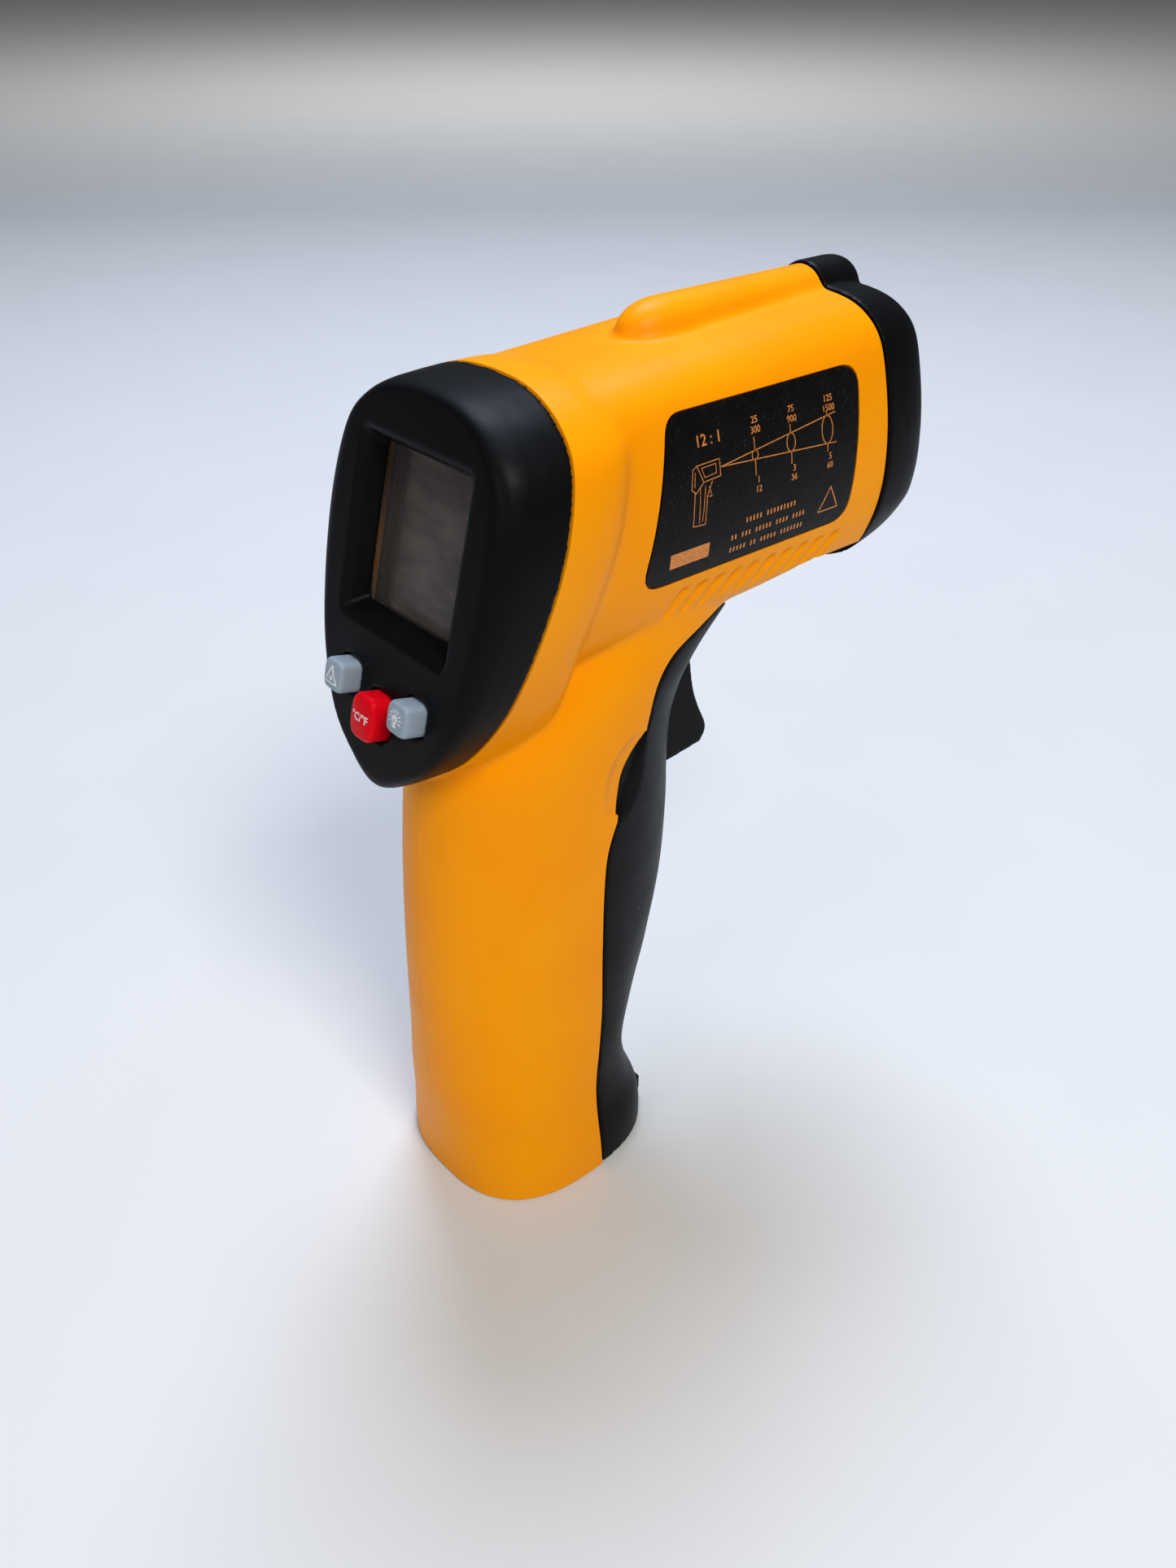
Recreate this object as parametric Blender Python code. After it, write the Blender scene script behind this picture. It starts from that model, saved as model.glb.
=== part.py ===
"""Infrared thermometer: a hand-held, battery-powered, non-contact thermometer shaped like a pistol.

Frame: +X is the measuring direction, +Y the user's left and +Z up. The origin lies on the surface
that the handle stands on, below the middle of the overall length.

Every size and place below is in millimetres, in a drawing frame whose x = 0 is the rear bottom edge
of the handle. `finish` moves a mesh into the part's frame and turns it into metres.
"""

from math import atan, cos, pi, radians, sin

import bmesh
import bpy
from mathutils import Matrix, Vector

MM = 0.001
CENTRE_X = 43.72  # the drawing frame's x below the middle of the overall length
GAP = 0.3  # between neighbouring pieces
WALL = 2.0  # housing wall

# Rear face: a plane that leans back, where the display and the keys are.
LEAN = 0.265  # x per z along the face
FACE_X_AT_BASE = -30.1  # the face plane's x at z = 0
FACE_REF_Z = 120.0
LEAN_ANGLE = atan(LEAN)

# Rear bezel: half outlines as (y, z), from the top middle to the bottom middle.
BEZEL_DEPTH = 9.3
COLLAR_START = 9.6
EGG = [(0, 148.2), (9, 147.3), (16.2, 144), (20.6, 139), (22.6, 129.5),
       (21.5, 118), (18.2, 106.5), (12.4, 97.5), (5.7, 92), (0, 89.6)]
FACE_EDGE = [(0, 146.8), (8.2, 146), (13.2, 143.4), (16.4, 139.2), (17.8, 130),
             (17.7, 118.5), (15.9, 107.8), (11.5, 98.9), (5.2, 94.4), (0, 92.8)]
# The seam between bezel and collar leans more than the face does.
SEAM_LEAN = 0.049
SEAM_LEVEL_Z = 112.6
# The collar's foot, below this level, runs further back and down over the grip.
FOOT_Z = 112.0
FOOT_HEIGHT = 22.4
FOOT_BACK = 5.5
FOOT_DROP = 3.2
FOOT_BLEND = 9.0  # depth over which the foot grows from the seam
# How far each ring of the bezel has swelled from the face's edge to the full outline, by depth.
BEZEL_RINGS = [(0.0, 0.0), (0.35, 0.34), (1.3, 0.62), (3.2, 0.82), (BEZEL_DEPTH, 1.0)]
# The collar carries the outline on and falls away to the barrel: (depth, inset).
COLLAR_RINGS = [(COLLAR_START, 0.0), (15.0, 0.1), (18.5, 0.6), (20.6, 1.7), (22.4, 3.6)]

# Barrel: half outline of its section, and its length.
BARREL = [(0, 150), (8, 149.7), (13.2, 148.1), (17, 144.6), (19.3, 138), (20.8, 130),
          (21, 122), (19.4, 114.8), (16.1, 108.9), (9.9, 105.4), (0, 104.6)]
BARREL_START = 14.0
BARREL_END = 83.0
BARREL_FOOT_Z = 104.6
BARREL_REAR_WIDTH = 0.945  # the section's width at the rear, as a share of that at the front
BARREL_REAR_DROP = 3.6  # how much lower its top is at the rear

# Hump over the laser, on top of the barrel: half width, height above the top, (x, share of size).
HUMP_HALF_WIDTH = 4.7
HUMP_BASE_Z = 148.6
HUMP_TOP_Z = 153.0
HUMP_RINGS = [(43.8, 0.15), (44.6, 0.5), (46.4, 0.8), (49.8, 1.0), (BARREL_END, 1.0)]
HUMP_ROOT = 2.5  # how far its sides run down into the barrel
HUMP_SPANS = 12

# Nose ring
NOSE_START = BARREL_END + GAP
NOSE_END = 94.4
NOSE_PROUD = 0.45
NOSE_EDGE_RINGS = [(NOSE_START, 0.0), (90.0, 0.45), (93.0, 1.4), (NOSE_END, 3.2)]
NOSE_RIDGE_RINGS = [(NOSE_START, 1.0), (90.6, 1.0), (92.4, 0.86), (93.6, 0.6)]
NOSE_HOLLOW_END = 89.0

# Handle: z, rear x, front x, half width and roundness of each level section.
HANDLE = [
    (0.0, 0.6, 42.5, 20.0, 2.6),
    (6.0, 0.4, 42.7, 19.7, 2.5),
    (13.0, 0.1, 40.5, 18.9, 2.3),
    (21.0, -0.4, 39.9, 18.2, 2.2),
    (31.0, -0.5, 43.1, 17.6, 2.1),
    (42.0, -0.5, 47.1, 17.1, 2.1),
    (56.0, -0.1, 50.4, 17.0, 2.1),
    (70.0, 0.8, 51.3, 17.0, 2.1),
    (81.0, 2.0, 51.0, 17.0, 2.1),
    (89.0, 3.6, 51.4, 17.2, 2.1),
    (96.0, 7.4, 53.7, 17.4, 2.1),
    (102.0, 12.0, 58.5, 17.4, 2.1),
    (108.0, 16.0, 65.6, 17.0, 2.1),
]
HANDLE_SIDES = 32

# Where the yellow shell ends and the battery door begins, in side view: (x, z).
DOOR_LINE = [(24.2, -3), (23.9, 10), (24.1, 19), (25.5, 29), (26.3, 38), (26.4, 50), (26.7, 64),
             (27.6, 72), (30.5, 79), (33.4, 84.6), (35.2, 89), (36, 94), (37.3, 100), (40.5, 103.9),
             (46, 106.2), (53, 108), (70, 111)]
NOTCH = [(29.1, 77.8), (30.0, 81.5), (31.3, 86.0), (35.0, 91.8)]  # thumb scoop behind the door's edge
NOTCH_FRONT_X = 40.0
NOTCH_INNER_Y = 12.0
NOTCH_DEPTH = 0.9  # how far the door's tongue lies below the surface there
SLOT_HALF_WIDTH = 5.8  # in the door, for the trigger
SLOT_FOOT_Z = 71.5
DOOR_HINGE = (35.5, 2.6)  # x, z
DOOR_PIN_RADIUS = 1.0
DOOR_PIN_HALF_LENGTH = 11.3
KNUCKLE_RADIUS = 2.3
KNUCKLE_INNER_Y = 5.7
KNUCKLE_WEB = (0.0, 6.0, -1.6, 2.2)  # x and z ranges of the web that carries it, from the hinge

# Trigger
TRIGGER = [(46.2, 112.5), (49, 113.9), (52, 112.4), (55, 106), (56.3, 99), (56.7, 93),
           (57.8, 86.5), (59.4, 82), (61.3, 78), (61.5, 76), (60.6, 74.5), (59.2, 73.9),
           (46, 72.9), (44.2, 74.6), (43.4, 85), (44, 98), (45, 106)]
TRIGGER_HALF_WIDTH = 5.0
TRIGGER_PIVOT = (49.0, 110.5)  # x, z
TRIGGER_PIN_RADIUS = 1.2
TRIGGER_PIN_HALF_LENGTH = 8.4
TRIGGER_EDGE = 0.8
TRIGGER_SLOT = (3.8, 7.0, 103.6)  # y range beside its arm, and the foot of the slots
SPRING_TURNS = 2.25
SPRING_RADIUS = 2.1
SPRING_PITCH = 0.72
SPRING_START_Y = 4.25
SPRING_LEG = 5.0
SPRING_WIRE_RADIUS = 0.26
TRIGGER_SWITCH = ((36.3, -3.2, 94.8), (39.8, 3.2, 101.2))

# Side labels: corners in side view (x, z).
LABEL = [(37.2, 142), (76.6, 142.3), (74.6, 118.4), (30.4, 118.2)]
LABEL_CORNER = 3.4
LABEL_THICKNESS = 0.4

# Grip grooves below each label
GROOVES = 10
GROOVE_PITCH = 3.75
GROOVE_TOP = (40.6, 116.3)  # x, z of the first groove's upper end
GROOVE_FOOT = (38.0, 110.6)
GROOVE_WIDTH = 1.3
GROOVE_DEPTH = 0.7

# Display, as (half width, foot v, top v) on the face; v runs up the face from FACE_REF_Z.
RECESS_MOUTH = (12.7, -6.2, 20.4)
RECESS_FLOOR = (11.3, -4.2, 19.0)
RECESS_DEPTH = 3.9
RECESS_RIM = 1.2  # how far its backing reaches past the mouth
WINDOW = ((4.25, -12.4, -6.2), (5.35, 12.4, 20.2))  # low and high corner as depth, y, v
LCD = ((5.7, -12.4, -5.9), (7.9, 12.4, 20.0))
BOARD_DEPTH = 10.7
BOARD_THICKNESS = 1.65
BOARD_INSET = 4.2
BACKLIGHT = ((8.2, -13.0, -6.4), (BOARD_DEPTH - GAP, 13.0, 20.4))
CHIP = ((BOARD_DEPTH + 1, -7, -11), (BOARD_DEPTH + 2.9, 7, 1))

# Keys: name, y, v, half width, half height, height above the face, colour
KEYS = [("laser", 8.4, -15.2, 2.6, 2.7, 3.6, 0x878E95),
        ("unit", 0.0, -18.2, 2.9, 3.7, 3.4, 0xD5141B),
        ("backlight", -8.4, -15.2, 2.6, 2.7, 3.6, 0x878E95)]
KEY_CORNER = 0.9
KEY_FLANGE = 0.7  # how far the flange behind the face stands out
KEY_FLANGE_DEPTHS = (2.4, 3.4)
KEY_STEM = (3.0, 2.4, 1.6)  # depth it starts at, length, radius
SWITCH_DEPTH = 7.4
SWITCH_HALF_WIDTH = 2.9
SWITCH_PLUNGER = (6.4, 1.5, 1.5)  # depth it starts at, length, radius

# Optics in the barrel
OPTICS_Z = 126.0
LENS_X = 84.2
APERTURE_RADIUS = 10.4
TUBE_RADIUS = 9.5
LASER_Z = 147.4
LASER_RADIUS = 3.0
LASER_PORT_RADIUS = 2.0
LASER_X = 66.4
LASER_PROFILE = [(0, LASER_RADIUS), (15.0, LASER_RADIUS), (15.5, LASER_RADIUS - 0.5)]
APERTURE_PROFILE = [(0, 8.4), (3.0, 8.4)]  # from APERTURE_X, before it widens
APERTURE_X = 87.8
TUBE_X = 60.0
TUBE_PROFILE = [(0, 6.5), (5.6, 6.5), (6.0, TUBE_RADIUS), (27.2, TUBE_RADIUS)]
TUBE_BORE = [(-0.5, 4.95), (7.0, 4.95), (7.01, 7.8), (23.7, 7.8), (23.71, 8.7), (28, 8.7)]
LENS_PROFILE = [(0, 8.4), (1.6, 8.4), (2.2, 6.2), (2.6, 3.2), (2.7, 0.6)]
THERMOPILE_X = 60.4
THERMOPILE_PROFILE = [(0, 4.6), (0.6, 4.6), (0.61, 4.1), (4.4, 4.1), (4.7, 3.8)]
SENSOR_BOARD = (58.3, 9.0, 1.4)  # x, radius, thickness

# Battery, 9 V block
BATTERY_LOW = (12.6, -13.25, 8.0)
BATTERY_HIGH = (30.1, 13.25, 54.4)
BATTERY_TERMINAL_Y = 6.35
BATTERY_CORNER = 1.4
STUD_RADIUS = 2.8
SOCKET_RADIUS = 4.0
TERMINAL_HEIGHT = 2.2
SNAP_INSET = 0.5
SNAP_HEIGHTS = (2.6, 5.4)  # above the battery

# Leads: the way of each on the left side, and their radii
BATTERY_LEAD = [(20, 4, 68), (20, 6, 80), (18.5, 7, 92), (14.5, 7, 101), (11.3, 7, 104)]
BATTERY_LEAD_RADIUS = 0.75
LASER_LEAD = [(66, 1.2, LASER_Z), (58, 1.4, 146), (47, 3, 141), (36, 4, 136), (27, 4, 134), (18.6, 4, 133)]
LASER_LEAD_RADIUS = 0.6
SENSOR_CABLE = [(57.9, 0, OPTICS_Z), (48, 0, 123.5), (34, 0, 123.5), (24, 0, 125.6), (17.8, 0, OPTICS_Z)]
SENSOR_CABLE_RADIUS = 1.2

# Screws from the left side: (x, z)
SCREWS = [(5.4, 20.0), (11.5, 72.0), (29.0, 142.0), (79.0, 111.4)]
BOSS_RADIUS = 4.2
SCREW_HEAD_RADIUS = 2.6
SCREW_SHANK_RADIUS = 1.1
SCREW_TIP_Y = -5.7
SCREW_PROFILE = [(0, SCREW_SHANK_RADIUS), (13.6, SCREW_SHANK_RADIUS), (13.61, SCREW_HEAD_RADIUS),
                 (15.2, SCREW_HEAD_RADIUS), (15.6, SCREW_HEAD_RADIUS - 0.5)]
SCREW_CROSS = (1.7, 0.35)  # half length and half width of each slot in its head
SCREW_CROSS_Y = (8.9, 10.5)
SCREW_SEAT_Y = 7.6

# Inside the shells
NECK = ((15, -11, 98), (33, 11, 112))  # opening from the grip to the barrel
THROAT = ((42.6, -5.6, 100), (57.4, 5.6, 112))  # opening for the trigger
RIBS = [(9.9, 11.4, 1, 60, 30.0), (34.4, 36.0, 92, 106, 12.0),
        (72.0, 73.6, 104, 150, 30.0), (60.4, 62.0, 104, 150, 30.0)]  # x range, z range, reach in y
TUBE_RIBS = RIBS[2:]  # these two hold the optics tube
RIB_ROOT = 1.0  # how far they run into the wall
FLOOR = (20, 32.5, 0, WALL, 30.0)
FLOOR_INSET = 3.4
HINGE_LUG = (31, 38, 0, 5.0, 5.0)
FORK_HALF_WIDTH = 3.0
FORK_Y = (6.3, 8.4)
FORK_Z = (105.6, 114.2)

# Cutting solids reach past the body
SIDE_REACH = 40.0
LONG_REACH = 140.0
HIGH_REACH = 180.0

YELLOW = 0xFFA200
BLACK = 0x17181B


# ---------------------------------------------------------------------------- general tools


def linear(channel):
    """One sRGB channel, 0 to 1, as a linear value."""
    return channel / 12.92 if channel <= 0.04045 else ((channel + 0.055) / 1.055) ** 2.4


def material(name, hex_colour, roughness, metallic=0.0, alpha=1.0):
    """The named Principled material, made the first time it is asked for."""
    found = bpy.data.materials.get(name)
    if found:
        return found
    made = bpy.data.materials.new(name)
    made.use_nodes = True
    shader = made.node_tree.nodes["Principled BSDF"]
    rgb = [linear((hex_colour >> shift & 255) / 255) for shift in (16, 8, 0)]
    shader.inputs["Base Color"].default_value = (*rgb, 1.0)
    shader.inputs["Roughness"].default_value = roughness
    shader.inputs["Metallic"].default_value = metallic
    shader.inputs["Alpha"].default_value = alpha
    made.diffuse_color = (*rgb, alpha)
    return made


def new_object(name, bm):
    """A mesh object, still in the drawing frame."""
    bmesh.ops.recalc_face_normals(bm, faces=bm.faces)
    mesh = bpy.data.meshes.new(name)
    bm.to_mesh(mesh)
    bm.free()
    made = bpy.data.objects.new(name, mesh)
    bpy.context.scene.collection.objects.link(made)
    return made


def boolean(target, operation, *tools, solver="EXACT"):
    """Applies one Boolean for each tool to the target, and removes the tools."""
    for tool in tools:
        modifier = target.modifiers.new("Boolean", "BOOLEAN")
        modifier.operation = operation
        modifier.solver = solver
        modifier.object = tool
        graph = bpy.context.evaluated_depsgraph_get()
        result = bpy.data.meshes.new_from_object(target.evaluated_get(graph))
        target.modifiers.clear()
        old = target.data
        target.data = result
        bpy.data.meshes.remove(old)
        remove(tool)
    return target


def join(target, *tools, solver="EXACT"):
    return boolean(target, "UNION", *tools, solver=solver)


def cut(target, *tools, solver="EXACT"):
    return boolean(target, "DIFFERENCE", *tools, solver=solver)


def keep(target, *tools):
    return boolean(target, "INTERSECT", *tools)


def remove(obj):
    mesh = obj.data
    bpy.data.objects.remove(obj)
    bpy.data.meshes.remove(mesh)


def copy(obj):
    made = obj.copy()
    made.data = obj.data.copy()
    bpy.context.scene.collection.objects.link(made)
    return made


def finish(obj, name, finish_material, pivot=(0, 0, 0), edge_angle=35):
    """Names the object, moves it to the part's frame in metres and puts its origin on the pivot."""
    obj.name = obj.data.name = name
    obj.data.transform(Matrix.Translation(-Vector(pivot)))
    obj.data.transform(Matrix.Scale(MM, 4))
    obj.location = (Vector(pivot) - Vector((CENTRE_X, 0, 0))) * MM
    obj.data.materials.clear()
    obj.data.materials.append(finish_material)
    for polygon in obj.data.polygons:
        polygon.material_index = 0
    obj.data.shade_smooth()
    obj.data.set_sharp_from_angle(angle=radians(edge_angle))
    return obj


# ---------------------------------------------------------------------------- outlines


def catmull_rom(points, steps, closed):
    """A smooth curve through the points, with `steps` pieces in each span."""
    points = [Vector(point) for point in points]
    count = len(points)
    spans = count if closed else count - 1
    curve = []
    for i in range(spans):
        if closed:
            p0, p1, p2, p3 = (points[(i + k) % count] for k in (-1, 0, 1, 2))
        else:
            p1, p2 = points[i], points[i + 1]
            p0 = points[i - 1] if i else p1 + (p1 - p2)
            p3 = points[i + 2] if i + 2 < count else p2 + (p2 - p1)
        for k in range(steps):
            t = k / steps
            curve.append(0.5 * (2 * p1 + (p2 - p0) * t + (2 * p0 - 5 * p1 + 4 * p2 - p3) * t**2
                                + (3 * p1 - p0 - 3 * p2 + p3) * t**3))
    if not closed:
        curve.append(points[-1])
    return curve


def full_outline(half, steps=2):
    """The closed outline whose half is given from the top middle to the bottom middle."""
    mirrored = [(-y, z) for y, z in half[-2:0:-1]]
    return catmull_rom(list(half) + mirrored, steps, closed=True)


def inset(outline, distance):
    """The clockwise outline moved inwards along its normals; a negative distance swells it."""
    count = len(outline)
    moved = []
    for i, point in enumerate(outline):
        along = (outline[(i + 1) % count] - outline[i - 1]).normalized()
        moved.append(point + distance * Vector((along.y, -along.x)))
    return moved


def mixed(first, second, share):
    return [a.lerp(b, share) for a, b in zip(first, second)]


def face_x(z):
    """The rear face's x at a height."""
    return FACE_X_AT_BASE + LEAN * z


def on_depth(outline, depth):
    """A (y, z) outline laid on the plane this deep behind the rear face, depth measured along x."""
    return [Vector((face_x(p.y) + depth, p.x, p.y)) for p in outline]


def on_seam(outline, depth):
    """An outline of the bezel or the collar: its plane leans more the deeper it lies, and its foot runs back."""
    lean = SEAM_LEAN * min(depth / BEZEL_DEPTH, 1.0)
    foot = min(max((depth - COLLAR_START) / FOOT_BLEND, 0.0), 1.0)
    ring = []
    for p in outline:
        sag = foot * max((FOOT_Z - p.y) / FOOT_HEIGHT, 0.0)
        x = face_x(p.y) + depth + lean * (p.y - SEAM_LEVEL_Z) + FOOT_BACK * sag
        ring.append(Vector((x, p.x, p.y - FOOT_DROP * sag)))
    return ring


def on_x(outline, x):
    return [Vector((x, p.x, p.y)) for p in outline]


def station(z):
    """Rear x, front x, half width and roundness of the handle at a height."""
    above = next((i for i, row in enumerate(HANDLE) if row[0] > z), len(HANDLE) - 1)
    i = min(max(above - 1, 0), len(HANDLE) - 2)
    rows = [HANDLE[min(max(i + k, 0), len(HANDLE) - 1)] for k in (-1, 0, 1, 2)]
    t = (z - rows[1][0]) / (rows[2][0] - rows[1][0])
    values = []
    for column in range(1, 5):
        p0, p1, p2, p3 = (row[column] for row in rows)
        values.append(0.5 * (2 * p1 + (p2 - p0) * t + (2 * p0 - 5 * p1 + 4 * p2 - p3) * t**2
                             + (3 * p1 - p0 - 3 * p2 + p3) * t**3))
    return values


def handle_ring(z, inwards=0.0):
    """A level section of the handle: a superellipse, moved inwards."""
    rear, front, half_width, roundness = station(z)
    middle = (rear + front) / 2
    half_length = (front - rear) / 2 - inwards
    ring = []
    for i in range(HANDLE_SIDES):
        angle = 2 * pi * i / HANDLE_SIDES
        c, s = cos(angle), sin(angle)
        x = middle + half_length * abs(c) ** (2 / roundness) * (1 if c > 0 else -1)
        y = (half_width - inwards) * abs(s) ** (2 / roundness) * (1 if s > 0 else -1)
        ring.append(Vector((x, y, z)))
    return ring


def barrel_outline(x, inwards=0.0):
    """The barrel's section at x, a little narrower towards the rear."""
    share = min(max((x - BARREL_START) / (BARREL_END - BARREL_START), 0), 1)
    width = BARREL_REAR_WIDTH + (1 - BARREL_REAR_WIDTH) * share
    drop = BARREL_REAR_DROP * (1 - share)
    height = BARREL[0][1] - BARREL_FOOT_Z
    half = [(y * width, z - drop * ((z - BARREL_FOOT_Z) / height) ** 3) for y, z in BARREL]
    return inset(full_outline(half), inwards)


# ---------------------------------------------------------------------------- solids


def loft(rings):
    """A closed skin: rings of equal count joined in turn, the first and the last filled."""
    bm = bmesh.new()
    loops = [[bm.verts.new(point) for point in ring] for ring in rings]
    bm.faces.new(loops[0])
    bm.faces.new(reversed(loops[-1]))
    for near, far in zip(loops, loops[1:]):
        for i, vert in enumerate(near):
            after = (i + 1) % len(near)
            bm.faces.new((vert, near[after], far[after], far[i]))
    return new_object("loft", bm)


def prism(outline, plane, low, high, corner=0.0, segments=4):
    """An outline in a plane ("XZ" or "YZ") extruded along the third axis, its corners rounded."""
    def point(pair, at):
        return (pair[0], at, pair[1]) if plane == "XZ" else (at, pair[0], pair[1])

    bm = bmesh.new()
    face = bm.faces.new([bm.verts.new(point(pair, low)) for pair in outline])
    grown = bmesh.ops.extrude_face_region(bm, geom=[face])
    verts = [item for item in grown["geom"] if isinstance(item, bmesh.types.BMVert)]
    along = Vector(point((0, 0), high)) - Vector(point((0, 0), low))
    bmesh.ops.translate(bm, verts=verts, vec=along)
    if corner:
        sides = [e for e in bm.edges if abs((e.verts[0].co - e.verts[1].co).normalized() @ along) > 0.1]
        bmesh.ops.bevel(bm, geom=sides, offset=corner, segments=segments, affect="EDGES", profile=0.5)
    return new_object("prism", bm)


def box(low, high, bevel=0.0, segments=2):
    """A block between two corners, its edges rounded."""
    low, high = Vector(low), Vector(high)
    bm = bmesh.new()
    bmesh.ops.create_cube(bm, size=1.0)
    bmesh.ops.scale(bm, vec=high - low, verts=bm.verts)
    bmesh.ops.translate(bm, vec=(low + high) / 2, verts=bm.verts)
    if bevel:
        bmesh.ops.bevel(bm, geom=bm.edges[:], offset=bevel, segments=segments,
                        affect="EDGES", profile=0.5)
    return new_object("box", bm)


def turned(profile, start, axis="X", sides=24):
    """A turned piece: (distance along the axis from start, radius) pairs, its ends filled."""
    turn = {"X": Matrix.Rotation(pi / 2, 3, "Y"), "Y": Matrix.Rotation(-pi / 2, 3, "X"),
            "Z": Matrix.Identity(3)}[axis]
    rings = []
    for along, radius in profile:
        rings.append([Vector(start) + turn @ Vector((radius * cos(2 * pi * i / sides),
                                                     radius * sin(2 * pi * i / sides), along))
                      for i in range(sides)])
    return loft(rings)


def rod(radius, start, length, axis="Y", sides=16):
    return turned([(0, radius), (length, radius)], start, axis, sides)


def wire(name, points, radius, smooth_steps=4, sides=2):
    """A round wire along a smooth route, as a curve with filled ends."""
    curve = bpy.data.curves.new(name, "CURVE")
    curve.dimensions = "3D"
    curve.bevel_depth = radius * MM
    curve.bevel_resolution = sides
    curve.use_fill_caps = True
    route = catmull_rom(points, smooth_steps, closed=False)
    spline = curve.splines.new("POLY")
    spline.points.add(len(route) - 1)
    for target, point in zip(spline.points, route):
        target.co = (*((point - Vector((CENTRE_X, 0, 0))) * MM), 1)
    made = bpy.data.objects.new(name, curve)
    bpy.context.scene.collection.objects.link(made)
    return made


def face_matrix():
    """Takes (depth, y, v) on the rear face, depth along its inward normal, to the drawing frame."""
    turn = Matrix.Rotation(LEAN_ANGLE, 4, "Y")
    return Matrix.Translation((face_x(FACE_REF_Z), 0, FACE_REF_Z)) @ turn


def on_face(obj):
    """Lays a solid, drawn as (depth, y, v), on the rear face."""
    obj.data.transform(face_matrix())
    return obj


# ---------------------------------------------------------------------------- housing


def handle_solid(inwards=0.0, foot=0.0, top=108.0):
    heights = [foot] + [row[0] for row in HANDLE if foot < row[0] < top] + [top]
    return loft([handle_ring(z, inwards) for z in heights])


def barrel_solid(inwards=0.0, start=BARREL_START, end=BARREL_END):
    return loft([on_x(barrel_outline(x, inwards), x) for x in (start, (start + end) / 2, end)])


def collar_solid(inwards=0.0, start=COLLAR_START):
    egg = full_outline(EGG)
    rings = [(start if depth == COLLAR_START else depth, inset(egg, more + inwards))
             for depth, more in COLLAR_RINGS]
    return loft([on_seam(outline, depth) for depth, outline in rings])


def hump_solid(swell=0.0, rings=None):
    """The half-round ridge over the laser."""
    made = []
    for x, share in rings or HUMP_RINGS:
        width = (HUMP_HALF_WIDTH + swell) * share
        height = (HUMP_TOP_Z + swell - HUMP_BASE_Z) * share
        angles = [pi * i / HUMP_SPANS for i in range(HUMP_SPANS + 1)]
        outline = [(width * cos(a), HUMP_BASE_Z + height * sin(a)) for a in angles]
        outline += [(-width, HUMP_BASE_Z - HUMP_ROOT), (width, HUMP_BASE_Z - HUMP_ROOT)]
        made.append(on_x([Vector(p) for p in outline], x))
    return loft(made)


def door_region(shift, low=-6.0):
    """The space in front of the door line, moved forward by shift."""
    line = [Vector((x + shift, z)) for x, z in DOOR_LINE]
    curve = catmull_rom(line, 2, closed=False)
    high = DOOR_LINE[-1][1]
    outline = [(p.x, p.y) for p in curve] + [(LONG_REACH, high), (LONG_REACH, low), (curve[0].x, low)]
    return prism(outline, "XZ", -SIDE_REACH, SIDE_REACH)


def outer_solid():
    """The whole yellow body as one solid, without its hollows."""
    body = cut(handle_solid(), door_region(-GAP / 2))
    join(body, barrel_solid(), collar_solid(start=COLLAR_START - WALL), hump_solid())
    low, high = EGG[-1][1] - GAP, HIGH_REACH
    edge = [(face_x(z) + COLLAR_START + SEAM_LEAN * (z - SEAM_LEVEL_Z), z) for z in (low, high)]
    bezel_space = [(-SIDE_REACH, low), *edge, (-SIDE_REACH, high)]
    return cut(body, prism(bezel_space, "XZ", -SIDE_REACH, SIDE_REACH))


def side_block(side, near=GAP / 2):
    """All the space on the far side of the parting plane from a half: side is +1 or -1."""
    low, high = sorted((-side * SIDE_REACH, side * near))
    return box((-SIDE_REACH, low, -SIDE_REACH), (LONG_REACH, high, HIGH_REACH))


def side_box(side, low_x, high_x, low_z, high_z, far=30.0, near=GAP / 2):
    """A box on one side of the parting plane."""
    low, high = sorted((side * near, side * far))
    return box((low_x, low, low_z), (high_x, high, high_z))


def shell_ribs(side, core):
    """The ribs, the floor, the hinge's lug and the trigger's fork of one half."""
    made = []
    for rib in RIBS:
        solid = keep(side_box(side, *rib), copy(core))
        if rib in TUBE_RIBS:
            cut(solid, rod(TUBE_RADIUS + GAP, (TUBE_X - WALL, 0, OPTICS_Z), SIDE_REACH, "X", 24))
        made.append(solid)
    made.append(keep(side_box(side, *FLOOR), handle_solid(FLOOR_INSET, foot=0.0, top=20.0)))
    made.append(side_box(side, *HINGE_LUG))
    pivot_x = TRIGGER_PIVOT[0]
    made.append(side_box(side, pivot_x - FORK_HALF_WIDTH, pivot_x + FORK_HALF_WIDTH, *FORK_Z,
                         far=FORK_Y[1], near=FORK_Y[0]))
    return made


def screw_boss(side, x, z):
    """A screw's boss: a wide one on the left, which holds the head, and a narrow one on the right."""
    if side > 0:
        return turned([(0, BOSS_RADIUS), (30, BOSS_RADIUS)], (x, 0, z), "Y", 16)
    return rod(BOSS_RADIUS - 1, (x, -30, z), 30)


def screw_ways(side, x, z):
    """What a screw needs cut out of one half."""
    if side > 0:
        return [rod(SCREW_HEAD_RADIUS + GAP, (x, SCREW_SEAT_Y, z), SIDE_REACH),
                rod(SCREW_SHANK_RADIUS + GAP, (x, -1, z), SCREW_SEAT_Y + 4.4)]
    return [rod(SCREW_SHANK_RADIUS + GAP, (x, -9.0, z), 12)]


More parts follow.
